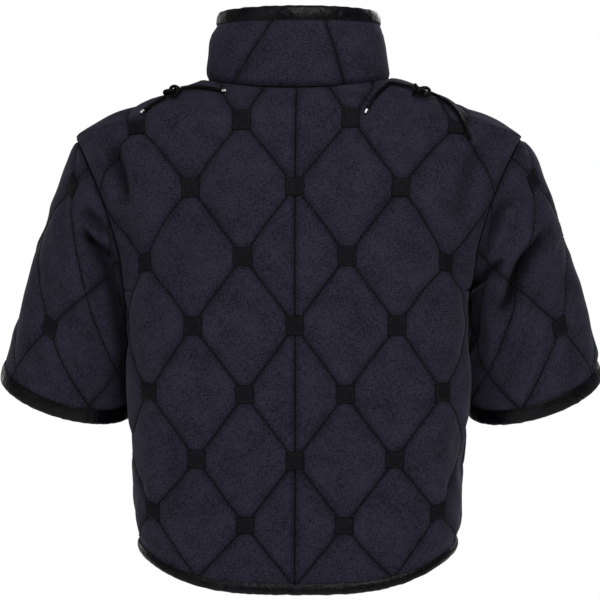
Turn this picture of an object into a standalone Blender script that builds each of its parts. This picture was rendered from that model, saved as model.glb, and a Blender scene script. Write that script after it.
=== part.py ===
"""Gambeson: a short quilted arming coat with a stand collar and short sleeves,
standing hollow as if worn.  Metres, +Z up, the wearer faces -Y, the wearer's
left is +X.  The origin is the middle of the neck's base."""

import math

import bmesh
import bpy
import numpy as np
from mathutils import Vector
from mathutils.bvhtree import BVHTree

for old in list(bpy.data.objects):
    bpy.data.objects.remove(old, do_unlink=True)

# --------------------------------------------------------------- driving sizes
WALL = 0.0045           # quilted wall at a stitch line and at every seam
PUFF = 0.0034           # how far a diamond's middle stands over its stitch lines
SEAM_GAP = 0.0002       # each piece stays this far short of a seam's own line
PATCH_P = 0.185         # half a patch's width, in half diamonds across
PATCH_Q = 0.14          # half a patch's height, in half diamonds down
PATCH_THICK = 0.0016
LAY_GAP = 0.0003        # clearance under anything that lies on a panel
BIND = 0.0012           # thickness of the leather binding
BIND_HEM = 0.0115       # how far the binding reaches in from each edge
BIND_COLLAR = 0.0140
BIND_CUFF = 0.0160
FRONT_EDGE = 0.0024     # each front stops this far from the centre front
LACE = 0.0042           # diameter of the shoulder laces
BUTTON_R = 0.0085

# Quilting: q counts half diamonds down the body, p counts them out from the
# centre back or centre front.  Stitch lines cross where p + q is odd.
HALF_DIAMOND = (        # q, half a diamond's width there
    (-0.45, 0.0640),
    (0.00, 0.0625),
    (1.00, 0.0600),
    (2.00, 0.0588),
    (4.00, 0.0568),
    (6.00, 0.0560),
    (7.10, 0.0560),
)

# Horizontal sections of the body, from the neck's seam to the hem.  zb, yb are
# the centre back, zf, yf the centre front, xs, zs the side, and n, m how full
# the section is between them.
SECTIONS = (
    #  q      zb      yb      zf      yf      xs      zs     n    m
    (-0.45, -0.009, 0.070, -0.045, -0.084, 0.1065, 0.004, 2.0, 2.0),
    (-0.31, -0.019, 0.077, -0.056, -0.090, 0.1830, -0.023, 2.0, 2.0),
    (-0.14, -0.034, 0.085, -0.070, -0.097, 0.2610, -0.065, 2.0, 2.0),
    (0.14, -0.059, 0.095, -0.092, -0.105, 0.2560, -0.076, 2.1, 1.4),
    (0.50, -0.087, 0.106, -0.118, -0.115, 0.2400, -0.095, 2.4, 1.15),
    (1.00, -0.126, 0.116, -0.152, -0.126, 0.2250, -0.140, 2.7, 1.10),
    (1.50, -0.165, 0.122, -0.184, -0.132, 0.2130, -0.180, 3.0, 1.15),
    (2.00, -0.205, 0.124, -0.215, -0.134, 0.2030, -0.225, 3.2, 1.45),
    (2.50, -0.244, 0.122, -0.249, -0.133, 0.2000, -0.243, 3.5, 2.40),
    (3.00, -0.283, 0.118, -0.284, -0.130, 0.1985, -0.283, 3.7, 3.00),
    (4.00, -0.361, 0.111, -0.357, -0.121, 0.1960, -0.357, 3.8, 3.30),
    (5.00, -0.436, 0.111, -0.428, -0.116, 0.1930, -0.424, 3.8, 3.30),
    (6.00, -0.509, 0.119, -0.493, -0.117, 0.1890, -0.483, 3.7, 3.20),
    (7.10, -0.583, 0.129, -0.553, -0.121, 0.1845, -0.540, 3.6, 3.20),
)
SECTION_COLUMNS = ("q", "zb", "yb", "zf", "yf", "xs", "zs", "n", "m")

# The armhole's seam: its top on the shoulder, its bottom in the armpit.
ARM_TOP = (0.2610, 0.0, -0.065)
ARM_BOTTOM = (0.2000, 0.0, -0.243)
ARM_BACK, ARM_FRONT = 0.058, 0.060      # how far it bows to the back and front
ARM_DIP = 0.010                         # how far it cuts in towards the chest
Q_TOP, Q_BOTTOM = -0.14, 2.50           # the sections that meet it

# The cuff: middle of its opening, half width, half depth, how far its outer
# end is lifted and how far the arm is carried forward.
CUFF_MID = (0.2804, -0.048, -0.3655)
CUFF_WIDE, CUFF_DEEP = 0.0808, 0.0680
CUFF_LIFT = math.radians(17.5)
ARM_FORWARD = math.radians(21.0)
CAP_LEFT, CAP_RIGHT = 0.0050, 0.0115    # how far each sleeve's outer line bows

# The stand collar's top edge: half width, depth, and its height at the back,
# side and front.
COLLAR_WIDE, COLLAR_DEEP, COLLAR_Y = 0.0925, 0.0700, -0.004
COLLAR_Z_BACK, COLLAR_Z_SIDE, COLLAR_Z_FRONT = 0.083, 0.083, 0.052

# The largest folds, each a soft trough along a line seen from the back or the
# front: face, from x, z to x, z, depth, half width.
FOLDS = (
    # face     x0      z0      x1      z1     depth   width
    ("back", 0.2080, -0.088, 0.1985, -0.155, 0.0040, 0.0090),
    ("back", -0.1940, -0.094, -0.1820, -0.158, 0.0032, 0.0110),
    ("front", 0.2020, -0.100, 0.1880, -0.160, 0.0036, 0.0100),
    ("front", -0.2040, -0.092, -0.1920, -0.158, 0.0038, 0.0090),
    ("sleeve_back", 0.2500, -0.136, 0.2180, -0.180, 0.0050, 0.0080),
    ("sleeve_back", 0.2480, -0.176, 0.2140, -0.203, 0.0075, 0.0090),
    ("sleeve_back", 0.2140, -0.203, 0.2080, -0.240, 0.0050, 0.0080),
    ("sleeve_back", -0.2040, -0.250, -0.2380, -0.210, 0.0050, 0.0090),
    ("sleeve_back", -0.2840, -0.172, -0.2720, -0.206, 0.0055, 0.0120),
    ("sleeve_back", -0.2720, -0.206, -0.2430, -0.252, 0.0085, 0.0120),
    ("sleeve_back", -0.2430, -0.252, -0.2310, -0.275, 0.0045, 0.0100),
    ("sleeve_front", 0.2560, -0.150, 0.2200, -0.190, 0.0055, 0.0100),
    ("sleeve_front", 0.2600, -0.196, 0.2180, -0.232, 0.0075, 0.0100),
    ("sleeve_front", -0.2500, -0.142, -0.2180, -0.186, 0.0060, 0.0100),
    ("sleeve_front", -0.2660, -0.186, -0.2200, -0.236, 0.0070, 0.0110),
)


# ------------------------------------------------------------------ small maths
def unit(v):
    v = np.asarray(v, float)
    return v / np.maximum(np.linalg.norm(v, axis=-1, keepdims=True), 1e-12)


def smooth(x):
    x = np.clip(x, 0.0, 1.0)
    return x * x * (3.0 - 2.0 * x)


def through(xk, yk, x):
    """A smooth curve through a table that never overshoots its rows."""
    xk, yk, x = np.asarray(xk, float), np.asarray(yk, float), np.asarray(x, float)
    h = np.diff(xk)
    d = np.diff(yk) / h
    m = np.zeros_like(yk)
    m[0], m[-1] = d[0], d[-1]
    for i in range(1, len(xk) - 1):
        if d[i - 1] * d[i] > 0:
            w1, w2 = 2 * h[i] + h[i - 1], h[i] + 2 * h[i - 1]
            m[i] = (w1 + w2) / (w1 / d[i - 1] + w2 / d[i])
    k = np.clip(np.searchsorted(xk, x) - 1, 0, len(h) - 1)
    t = (x - xk[k]) / h[k]
    return ((1 + 2 * t) * (1 - t) ** 2 * yk[k] + t * (1 - t) ** 2 * h[k] * m[k]
            + t * t * (3 - 2 * t) * yk[k + 1] + t * t * (t - 1) * h[k] * m[k + 1])


def section(q):
    cols = list(zip(*SECTIONS))
    return {name: float(through(cols[0], cols[i], q))
            for i, name in enumerate(SECTION_COLUMNS) if i}


def half_diamond(q):
    qs, hs = zip(*HALF_DIAMOND)
    return float(np.interp(q, qs, hs))


# ------------------------------------------------------------- the body's form
def armhole(q, face):
    """A point of the armhole's seam on the wearer's left, where section q ends."""
    f = math.pi * (q - Q_TOP) / (Q_BOTTOM - Q_TOP)
    w = (1 + math.cos(f)) / 2
    x = ARM_BOTTOM[0] + (ARM_TOP[0] - ARM_BOTTOM[0]) * w - ARM_DIP * math.sin(f) ** 2
    z = ARM_BOTTOM[2] + (ARM_TOP[2] - ARM_BOTTOM[2]) * w
    y = (ARM_BACK if face == "back" else -ARM_FRONT) * math.sin(f)
    return x, y, z


def body_line(q, face, steps=240):
    """Section q of the left half, from the centre out to its side or armhole:
    its points, and how far along it each one lies."""
    s = section(q)
    xs, ys, zs = s["xs"], 0.0, s["zs"]
    if Q_TOP <= q <= Q_BOTTOM:
        xs, ys, zs = armhole(q, face)
    yc, zc = (s["yb"], s["zb"]) if face == "back" else (s["yf"], s["zf"])
    r = 1 - (1 - np.linspace(0, 1, steps)) ** 2.2
    r[-1] = 1.0
    x = xs * r
    y = ys + (yc - ys) * (1 - r ** s["n"]) ** (1 / s["m"])
    rise = 2.3 + 2.2 * float(smooth(q)) - 1.4 * float(smooth((q - 5.2) / 1.9))
    z = zc + (zs - zc) * r ** rise
    pts = np.stack([x, y, z], 1)
    arc = np.concatenate([[0], np.cumsum(np.linalg.norm(np.diff(pts, axis=0), axis=1))])
    return arc, pts


def along(q, face, arcs):
    arc, pts = body_line(q, face)
    arcs = np.clip(arcs, 0, arc[-1])
    return np.stack([np.interp(arcs, arc, pts[:, i]) for i in range(3)], 1)


def panel_columns(q, face, ps, tail):
    """How far out along section q each column of the panel lies: at the half
    diamonds ps, then shared out over the rest.  Over the shoulder the columns
    close in evenly towards the neck."""
    qa = max(q, Q_TOP)
    end_a, end = body_line(qa, face)[0][-1], body_line(q, face)[0][-1]
    start = 0.0 if face == "back" else FRONT_EDGE
    fixed = np.array(ps) * half_diamond(qa)
    fixed[0] = start
    if face == "front":
        fixed[1] = start + BIND_HEM
    rest = fixed[-1] + (end_a - fixed[-1]) * np.array(tail)
    arcs = np.concatenate([fixed, rest])
    if q < Q_TOP:
        arcs = start + (arcs - start) * (end - start) / (end_a - start)
    return arcs


def body_panel(face, side, qs, ps, tail):
    """Grid of a half back or half front: points, p and q of each point."""
    rows, pp = [], []
    for q in qs:
        arcs = panel_columns(q, face, ps, tail)
        rows.append(along(q, face, arcs))
        pp.append(arcs / half_diamond(q))
    grid = np.array(rows)
    grid[:, :, 0] *= side
    return grid, np.array(pp), np.repeat(np.array(qs)[:, None], grid.shape[1], 1)


def sleeve_point(side, start, turn, v):
    """A point of the sleeve: start is its point on the armhole's seam, turn
    goes round from the shoulder by way of the back, v from seam to cuff."""
    e1 = np.array([math.cos(CUFF_LIFT), 0.0, math.sin(CUFF_LIFT)])
    down = np.array([math.sin(CUFF_LIFT), 0.0, -math.cos(CUFF_LIFT)])
    e2 = math.sin(ARM_FORWARD) * down + math.cos(ARM_FORWARD) * np.array([0.0, 1.0, 0.0])
    c, s = math.cos(turn), math.sin(turn)
    end = np.array(CUFF_MID) + CUFF_WIDE * c * e1 + CUFF_DEEP * s * e2
    start = np.array([abs(start[0]), start[1], start[2]])
    p = start + (end - start) * v
    out = c * e1 + s * e2
    top, low = max(0.0, c) ** 1.5, max(0.0, -c) ** 1.5
    cap = CAP_LEFT if side > 0 else CAP_RIGHT
    p = p + out * (cap * top + 0.007 * abs(s)) * math.sin(math.pi * v ** 0.75)
    leave = (1 - math.exp(-v / 0.035)) * (1 - v)
    p = p + np.array([0.0055 * low * leave, 0.0, 0.0045 * low * leave])
    p[0] *= side
    return p


def sleeve_grid(side, seam, turns, vs):
    """Rows down the sleeve; the last but one lies the binding's width from the
    cuff all round."""
    grid = np.array([[sleeve_point(side, s, t, v) for s, t in zip(seam, turns)] for v in vs])
    for j, (s, t) in enumerate(zip(seam, turns)):
        run = np.linalg.norm(grid[-1, j] - grid[-3, j]) / (vs[-1] - vs[-3])
        grid[-2, j] = sleeve_point(side, s, t, 1 - BIND_CUFF / run)
    return grid


def collar_grid(seam, vs):
    """The stand collar, from the neck's seam (front edge, round the back, front
    edge) up to its top edge."""
    rows = []
    for v in vs:
        row = []
        for x, y, z in seam:
            a = math.atan2(x / 0.1065, (y + 0.007) / 0.077)
            a *= 1 - 0.035 * v
            top_z = through((0, 50, 100, 180),
                            (COLLAR_Z_BACK, COLLAR_Z_BACK, COLLAR_Z_SIDE, COLLAR_Z_FRONT),
                            abs(math.degrees(a)))
            top = np.array([COLLAR_WIDE * math.sin(a),
                            COLLAR_Y + COLLAR_DEEP * math.cos(a), float(top_z)])
            w = 0.35 * v + 0.65 * v ** 2.2
            p = np.array([x, y, z])
            row.append([p[0] + (top[0] - p[0]) * w, p[1] + (top[1] - p[1]) * w,
                        p[2] + (top[2] - p[2]) * v])
        rows.append(row)
    return np.array(rows)


# ------------------------------------------------------------ relief and folds
def puff(p, q):
    """Height of the quilting: nothing on a stitch line, 1 in a diamond."""
    a, b = (p + q + 1) / 2, (p - q + 1) / 2
    fa, fb = a - np.floor(a), b - np.floor(b)
    return (np.clip(4 * fa * (1 - fa), 0, 1) * np.clip(4 * fb * (1 - fb), 0, 1)) ** 0.55


def fold_depth(points, face):
    """How far the folds sink each point of a grid."""
    d = np.zeros(points.shape[:-1])
    xz = points[..., [0, 2]]
    for name, x0, z0, x1, z1, depth, width in FOLDS:
        if name != face:
            continue
        a, b = np.array([x0, z0]), np.array([x1, z1])
        ab = b - a
        length = np.linalg.norm(ab)
        t = ((xz - a) @ ab) / length ** 2
        off = np.abs((xz - a)[..., 0] * ab[1] - (xz - a)[..., 1] * ab[0]) / length
        ends = smooth((t + 0.25) / 0.45) * smooth((1.25 - t) / 0.45)
        d += depth * ends * np.exp(-(off / width) ** 2)
    return d


def grid_normals(grid, outward, ring=False):
    """Unit normals of a grid, turned the way outward points."""
    if ring:
        g = np.concatenate([grid[:, -1:], grid, grid[:, :1]], 1)
        du = (g[:, 2:] - g[:, :-2])
    else:
        du = np.gradient(grid, axis=1)
    dv = np.gradient(grid, axis=0)
    n = unit(np.cross(du, dv))
    if np.sum(n * outward) < 0:
        n = -n
    return n


# --------------------------------------------------------------- making meshes
def material(name, colour, rough, metallic=0.0):
    mat = bpy.data.materials.new(name)
    mat.use_nodes = True
    shader = mat.node_tree.nodes["Principled BSDF"]
    shader.inputs["Base Color"].default_value = (*colour, 1.0)
    shader.inputs["Roughness"].default_value = rough
    shader.inputs["Metallic"].default_value = metallic
    return mat


CLOTH = ("wool", (0.020, 0.018, 0.029), 0.95)
LEATHER = ("leather", (0.009, 0.008, 0.011), 0.35)
PATCH_CLOTH = ("patch_cloth", (0.011, 0.010, 0.015), 0.85)
CORD = ("waxed_cord", (0.006, 0.006, 0.008), 0.40)
TIP = ("tip_metal", (0.80, 0.80, 0.82), 0.30)
assembly = bpy.data.objects.new("gambeson", None)
bpy.context.collection.objects.link(assembly)


def finish(obj, look):
    obj.data.materials.append(material(obj.name + "_" + look[0], look[1], look[2],
                                       1.0 if look is TIP else 0.0))
    obj.parent = assembly
    return obj


def solid(name, verts, faces, look, angle=40):
    mesh = bpy.data.meshes.new(name)
    mesh.from_pydata([tuple(map(float, v)) for v in verts], [], faces)
    bm = bmesh.new()
    bm.from_mesh(mesh)
    bmesh.ops.recalc_face_normals(bm, faces=bm.faces)
    if bm.calc_volume(signed=True) < 0:
        bmesh.ops.reverse_faces(bm, faces=bm.faces)
    bm.to_mesh(mesh)
    bm.free()
    mesh.shade_smooth()
    mesh.set_sharp_from_angle(angle=math.radians(angle))
    obj = bpy.data.objects.new(name, mesh)
    bpy.context.collection.objects.link(obj)
    return finish(obj, look)


def leading(a, b):
    """Of two neighbouring edge points, whether a is the one whose outer point
    the rim's split starts from; pieces that meet there choose alike."""
    key = np.array([0.0, 0.21, 1.0])
    return (np.dot(a, key) + 0.37 * abs(a[0])) > (np.dot(b, key) + 0.37 * abs(b[0]))


def wall(name, outer, inner, look, relief=None, ring=False):
    """A closed wall between two grids.  Each square is split along the lower of
    its diagonals, so stitch lines stay valleys."""
    rows, cols = outer.shape[:2]
    verts = list(outer.reshape(-1, 3)) + list(inner.reshape(-1, 3))
    half = rows * cols
    if relief is None:
        relief = np.zeros((rows, cols))
    faces = []
    last = cols if ring else cols - 1
    for i in range(rows - 1):
        for j in range(last):
            k = (j + 1) % cols
            a, b, c, d = i * cols + j, i * cols + k, (i + 1) * cols + k, (i + 1) * cols + j
            if relief[i, j] + relief[i + 1, k] <= relief[i, k] + relief[i + 1, j]:
                tris = [(a, b, c), (a, c, d)]
            else:
                tris = [(a, b, d), (b, c, d)]
            faces += tris
            faces += [(half + t[2], half + t[1], half + t[0]) for t in tris]
    edges = [(i * cols + j, i * cols + (j + 1) % cols) for i in (0, rows - 1) for j in range(last)]
    if not ring:
        edges += [(i * cols + j, (i + 1) * cols + j) for j in (0, cols - 1) for i in range(rows - 1)]
    for a, b in edges:
        if not leading(verts[a], verts[b]):
            a, b = b, a
        faces += [(a, half + a, half + b), (a, half + b, b)]
    return solid(name, verts, faces, look)


def binding(name, outer, normal, inner, ring=False, lean=None):
    """Leather folded over an edge.  outer and inner are the wall's own points,
    station by station along the edge and from the edge inwards; the strip is
    those points moved out by its gap and by its thickness.  lean says which way
    the wall's squares are split in each stretch, so that the strip's are too."""
    e_out = unit(outer[:, 0] - outer[:, 1])
    e_in = unit(inner[:, 0] - inner[:, 1])
    reach = outer.shape[1]

    def layer(g):
        pts = [outer[:, m] + normal[:, m] * g for m in range(reach - 1, 0, -1)]
        pts.append(outer[:, 0] + normal[:, 0] * g + e_out * g)
        pts.append(inner[:, 0] - normal[:, 0] * g + e_in * g)
        pts += [inner[:, m] - normal[:, m] * g for m in range(1, reach)]
        return pts

    low, high = layer(LAY_GAP), layer(LAY_GAP + BIND)
    profile = low + high[::-1]
    verts = np.stack(profile, 1).reshape(-1, 3)
    count, m = len(outer), len(profile)
    half = list(range(reach - 1, -1, -1)) + list(range(reach))
    depth = half + half[::-1]
    lean = [1] * count if lean is None else lean
    faces = []
    for i in range(count if ring else count - 1):
        h = (i + 1) % count
        for j in range(m):
            g = (j + 1) % m
            a, b, c, d = i * m + j, i * m + g, h * m + g, h * m + j
            if depth[j] == depth[g]:
                first = leading(outer[i, 0], outer[h, 0]) == (j < g)
                first = first if j < len(low) else not first
            else:
                first = (depth[j] > depth[g]) == (lean[i] > 0)
            if first:
                faces += [(a, b, c), (a, c, d)]
            else:
                faces += [(a, b, d), (b, c, d)]
    if not ring:
        for base, flip in ((0, 1), ((count - 1) * m, -1)):
            for j in range(len(low) - 1):
                w, x, y, z = j, j + 1, m - 2 - j, m - 1 - j
                for t in ((w, x, y), (w, y, z)):
                    faces.append(tuple(base + t[k] for k in (0, 1, 2)[::flip]))
    return solid(name, verts, faces, LEATHER, 50)


def tube(name, points, diameter, look, ring=False):
    curve = bpy.data.curves.new(name, "CURVE")
    curve.dimensions = "3D"
    curve.bevel_depth = diameter / 2
    curve.bevel_resolution = 2
    curve.use_fill_caps = True
    spline = curve.splines.new("POLY")
    spline.points.add(len(points) - 1)
    for p, co in zip(spline.points, points):
        p.co = (*map(float, co), 1.0)
    spline.use_cyclic_u = ring
    obj = bpy.data.objects.new(name, curve)
    bpy.context.collection.objects.link(obj)
    return finish(obj, look)


def turned(name, profile, at, axis, look, sides=14):
    """A round piece turned from rows of (radius, height) about axis."""
    axis = unit(axis)
    u = unit(np.cross(axis, (0.0, 0.0, 1.0) if abs(axis[2]) < 0.9 else (1.0, 0.0, 0.0)))
    w = np.cross(axis, u)
    verts, faces = [], []
    for r, h in profile:
        for i in range(sides):
            t = 2 * math.pi * i / sides
            verts.append(np.array(at) + axis * h + (u * math.cos(t) + w * math.sin(t)) * r)
    for k in range(len(profile) - 1):
        for i in range(sides):
            j = (i + 1) % sides
            faces.append((k * sides + i, k * sides + j, (k + 1) * sides + j, (k + 1) * sides + i))
    faces.append(tuple(range(sides))[::-1])
    faces.append(tuple((len(profile) - 1) * sides + i for i in range(sides)))
    return solid(name, verts, faces, look, 35)


# -------------------------------------------------------- grids of every piece
D, DQ = PATCH_P, PATCH_Q
QS = [-0.45, -0.31, -DQ, DQ] + [k + f for k in range(7) for f in (0.5, 1 - DQ, 1 + DQ)]
QS = sorted(set(round(q, 4) for q in QS if q < 6.6)) + [6.62, 6.95, 7.10]
PS = [0.0, D, 0.5, 1 - D, 1 + D, 1.5, 2 - D, 2 + D, 2.5, 3 - D, 3 + D, 3.5]
TAIL = [1 / 3, 2 / 3, 1.0]
I_TOP, I_BOTTOM = QS.index(Q_TOP), QS.index(Q_BOTTOM)

grids = {}
for face in ("back", "front"):
    for side, word in ((1, "left"), (-1, "right")):
        grid, pp, qq = body_panel(face, side, QS, PS, TAIL)
        grids[face + "_" + word] = dict(grid=grid, p=pp, q=qq, face=face, side=side, ring=False)

TURNS = [math.pi * (q - Q_TOP) / (Q_BOTTOM - Q_TOP) for q in QS[I_TOP:I_BOTTOM + 1]]
VS = [0.0, 0.05, 0.15, 0.29, 0.43, 0.57, 0.71, 0.86, 1.0]
for side, word in ((1, "left"), (-1, "right")):
    back = grids["back_" + word]["grid"][I_TOP:I_BOTTOM + 1, -1]
    front = grids["front_" + word]["grid"][I_TOP:I_BOTTOM + 1, -1]
    seam = list(back) + list(front[-2:0:-1])
    turns = TURNS + [2 * math.pi - t for t in TURNS[-2:0:-1]]
    grids["sleeve_" + word] = dict(grid=sleeve_grid(side, seam, turns, VS), side=side,
                                   face="sleeve", ring=True)

fl, bl = grids["front_left"]["grid"][0], grids["back_left"]["grid"][0]
br, fr = grids["back_right"]["grid"][0], grids["front_right"]["grid"][0]
neck = list(fl) + list(bl[-2::-1]) + list(br[1:]) + list(fr[-2::-1])
CV = [0.0, 0.16, 0.36, 0.60, 1 - BIND_COLLAR / 0.09, 1.0]
grids["collar"] = dict(grid=collar_grid(neck, CV), side=0, face="collar", ring=False)

for name, g in grids.items():
    grid = g["grid"]
    if g["face"] == "sleeve":
        middle = grid.mean(axis=1, keepdims=True)
        outward = grid - middle
    elif g["face"] == "collar":
        outward = grid * np.array([1.0, 1.0, 0.0])
    else:
        outward = grid * np.array([0.6, 1.0, 0.0])
    normal = grid_normals(grid, outward, g["ring"])
    # folds, faded out at every seam
    rows, cols = grid.shape[:2]
    fade = np.ones((rows, cols))
    fade[0] = fade[-1] = 0
    if not g["ring"]:
        fade[:, 0] = fade[:, -1] = 0
    if g["face"] == "sleeve":
        behind = np.array([math.sin(t) > 0 for t in
                           TURNS + [2 * math.pi - t for t in TURNS[-2:0:-1]]])
        sink = np.where(behind[None, :], fold_depth(grid, "sleeve_back"),
                        fold_depth(grid, "sleeve_front"))
    elif g["face"] == "collar":
        sink = np.zeros((rows, cols))
    else:
        sink = fold_depth(grid, g["face"])
    grid = grid - normal * (sink * fade)[..., None]
    g["grid"], g["normal"] = grid, grid_normals(grid, outward, g["ring"])

# the mitre of every seam: pieces that meet share one inner line
edge_points, edge_normals = [], []
for g in grids.values():
    edge_points.append(g["grid"].reshape(-1, 3))
    edge_normals.append(g["normal"].reshape(-1, 3))
all_points, all_normals = np.concatenate(edge_points), np.concatenate(edge_normals)
for g in grids.values():
    rows, cols = g["grid"].shape[:2]
    mitre = g["normal"].copy()
    for i in range(rows):
        for j in range(cols):
            if i in (0, rows - 1) or (not g["ring"] and j in (0, cols - 1)):
                near = np.linalg.norm(all_points - g["grid"][i, j], axis=1) < 1e-6
                ns = all_normals[near]
                m = np.linalg.pinv(ns, rcond=0.15) @ np.ones(len(ns))
                mitre[i, j] = m * min(1.0, 1.7 / np.linalg.norm(m))
    g["mitre"] = mitre

for name, g in grids.items():
    grid, rows, cols = g["grid"], g["grid"].shape[0], g["grid"].shape[1]
    relief = np.zeros((rows, cols))
    if g["face"] in ("back", "front"):
        relief = puff(g["p"], g["q"])
        relief[relief < 0.3] = 0            # the corners of every patch
        relief[g["q"] < 0] = 0
        relief[:, -1] = 0
        relief[-2:] = 0
        relief[:, 0] = 0 if g["face"] == "front" else relief[:, 0]
        relief[:, 1] = 0 if g["face"] == "front" else relief[:, 1]
        seam_side = (g["q"] < 2.6)
        relief[:, -2] *= np.where(seam_side[:, -2], 0.35, 0.6)
        relief *= PUFF
    elif g["face"] == "sleeve":
        relief[1:-2] = 0.0
    g["relief"] = relief
    shift = np.zeros_like(grid)
    shift[0] += unit(grid[1] - grid[0]) * SEAM_GAP
    if g["face"] == "collar":
        pass
    if not g["ring"] and g["face"] != "collar":
        shift[:, -1] += unit(grid[:, -2] - grid[:, -1]) * SEAM_GAP
        if g["face"] == "back":
            shift[:, 0] += unit(grid[:, 1] - grid[:, 0]) * SEAM_GAP
    g["outer"] = grid + shift + g["normal"] * relief[..., None]
    g["inner"] = grid + shift - g["mitre"] * WALL
    wall(name, g["outer"], g["inner"], CLOTH, relief, g["ring"])


# -------------------------------------------------------------------- bindings
def strip(g, edge, rows=slice(None)):
    """Outer points, normals and inner points along an edge of a grid, each with
    its neighbour one step into the cloth."""
    out = []
    for key in ("outer", "normal", "inner"):
        a = g[key]
        if edge == "front":
            out.append(np.stack([a[rows, 0], a[rows, 1]], 1))
        else:
            out.append(np.stack([a[-1], a[-2]], 1))
    return out


def across(a, b):
    """Two runs that meet at a seam, with one shared station there."""
    out = []
    for x, y in zip(a, b):
        out.append(np.concatenate([x[:-1], (x[-1:] + y[:1]) / 2, y[1:]]))
    return out


def moved_end(r, end, distance):
    """Move the run's last station along the run, past its end or short of it."""
    other = 1 if end == 0 else -2
    for k in (0, 2):
        way = unit(r[k][end] - r[k][other])
        r[k] = r[k].copy()
        r[k][end] = r[k][end] + way * distance
    return r


fl_g, fr_g = grids["front_left"], grids["front_right"]
bl_g, br_g = grids["back_left"], grids["back_right"]
col = grids["collar"]
flip = lambda r: [a[::-1] for a in r]
hem = across(across(strip(fl_g, "edge"), flip(strip(bl_g, "edge"))),
             across(strip(br_g, "edge"), flip(strip(fr_g, "edge"))))
hem = moved_end(moved_end(hem, 0, LAY_GAP + BIND), -1, LAY_GAP + BIND)
n = len(fl_g["outer"][0]) - 1
binding("hem_binding", *hem, lean=([1] * n + [-1] * n) * 2)
top = moved_end(moved_end(strip(col, "edge"), 0, LAY_GAP + BIND), -1, LAY_GAP + BIND)
binding("collar_binding", *top)
for word in ("left", "right"):
    binding("cuff_binding_" + word, *strip(grids["sleeve_" + word], "edge"), ring=True)

for word, g in (("left", fl_g), ("right", fr_g)):
    low = strip(g, "front", slice(0, -1))
    if word == "left":
        high = strip(col, "front", slice(0, -1))
    else:
        mirror = {k: col[k][:, ::-1] for k in ("outer", "normal", "inner", "mitre")}
        high = strip(mirror, "front", slice(0, -1))
    run = across([a[::-1] for a in low], high)
    k = len(low[0]) - 1
    # where the collar turns up, the strip is offset along the shared mitre
    m = np.stack([g["mitre"][0, 0], g["mitre"][0, 1]], 0)
    run[1] = run[1].copy()
    run[1][k] = m
    run = moved_end(moved_end(run, 0, -0.0007), -1, -0.0007)
    binding("front_binding_" + word, *run,
            lean=[1] * k + [-1 if word == "left" else 1] * len(high[0]))


# --------------------------------------------------------------------- patches
def patch_columns(g, p):
    j0 = int(np.argmin(np.abs(g["p"][10] - (p - D))))
    j1 = int(np.argmin(np.abs(g["p"][10] - (p + D))))
    return j0, j1


def slab(name, low, normal, turned_column=None):
    """A patch over a strip of panel points: low is rows by columns.  Left of
    turned_column the panel's columns run the other way, and so do its splits."""
    base = low + normal * LAY_GAP
    top = low + normal * (LAY_GAP + PATCH_THICK)
    split = np.zeros(low.shape[:2])
    if turned_column:
        split[:, :turned_column] = 1.0
        split[1] = 0.0
    return wall(name, top, base, PATCH_CLOTH, split)


patch_list = [(p, q) for q in range(0, 7) for p in (-3, -2, -1, 0, 1, 2, 3) if (p + q) % 2 == 1]
count = 0
for p, q in patch_list:
    count += 1
    r0, r1 = QS.index(round(q - DQ, 4)), QS.index(round(q + DQ, 4))
    rows = [r0, r1]
    if p == 0:
        a, b = bl_g, br_g
        j = int(np.argmin(np.abs(a["p"][10] - D)))
        low = np.stack([b["outer"][rows, j], (a["outer"][rows, 0] + b["outer"][rows, 0]) / 2,
                        a["outer"][rows, j]], 1)
        nor = np.stack([b["normal"][rows, j], a["normal"][rows, 0], a["normal"][rows, j]], 1)
    else:
        g = bl_g if p > 0 else br_g
        j0, j1 = patch_columns(g, abs(p))
        low, nor = g["outer"][rows][:, [j0, j1]], g["normal"][rows][:, [j0, j1]]
    # drawn in a little, so that it stays clear of the diamonds that rise beside it
    middle = low.reshape(-1, 3).mean(0)
    low = middle + (low - middle) * 0.965
    slab("patch_%02d" % count, low, unit(nor), 1 if p == 0 else None)

# two patches on the back of each sleeve: where they lie round it and down it
SLEEVE_PATCHES = ((1, 41.0, 0.118), (1, 67.0, 0.642), (-1, 31.0, 0.135), (-1, 57.0, 0.672))
HALF_TURN, HALF_DOWN = math.radians(8.8), 0.040
for side, turn_deg, v0 in SLEEVE_PATCHES:
    count += 1
    pts = []
    for dv in (-HALF_DOWN, HALF_DOWN):
        row = []
        for dt in (-HALF_TURN, 0.0, HALF_TURN):
            t = math.radians(turn_deg) + dt
            q = Q_TOP + (Q_BOTTOM - Q_TOP) * t / math.pi
            row.append(sleeve_point(side, armhole(q, "back"), t, v0 + dv))
        pts.append(row)
    pts = np.array(pts)
    t = math.radians(turn_deg)
    start = armhole(Q_TOP + (Q_BOTTOM - Q_TOP) * t / math.pi, "back")
    du = pts[0, 2] - pts[0, 0]
    dv = pts[1, 1] - pts[0, 1]
    nor = unit(np.cross(du, dv))
    if nor[1] < 0:
        nor = -nor
    slab("patch_%02d" % count, pts + nor * 0.0012, np.broadcast_to(nor, pts.shape))


# ---------------------------------------------------- laces tied on the shoulders
def back_surface(x, z):
    """The back panel's outer point and normal nearest to x, z seen from behind."""
    g = bl_g if x > 0 else br_g
    pts, nor = g["outer"].reshape(-1, 3), g["normal"].reshape(-1, 3)
    d = (pts[:, 0] - x) ** 2 + (pts[:, 2] - z) ** 2
    w = 1 / (d + 4e-6) ** 2
    w[d > np.sort(d)[5]] = 0
    w = w / w.sum()
    return (pts * w[:, None]).sum(0), unit((nor * w[:, None]).sum(0))


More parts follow.
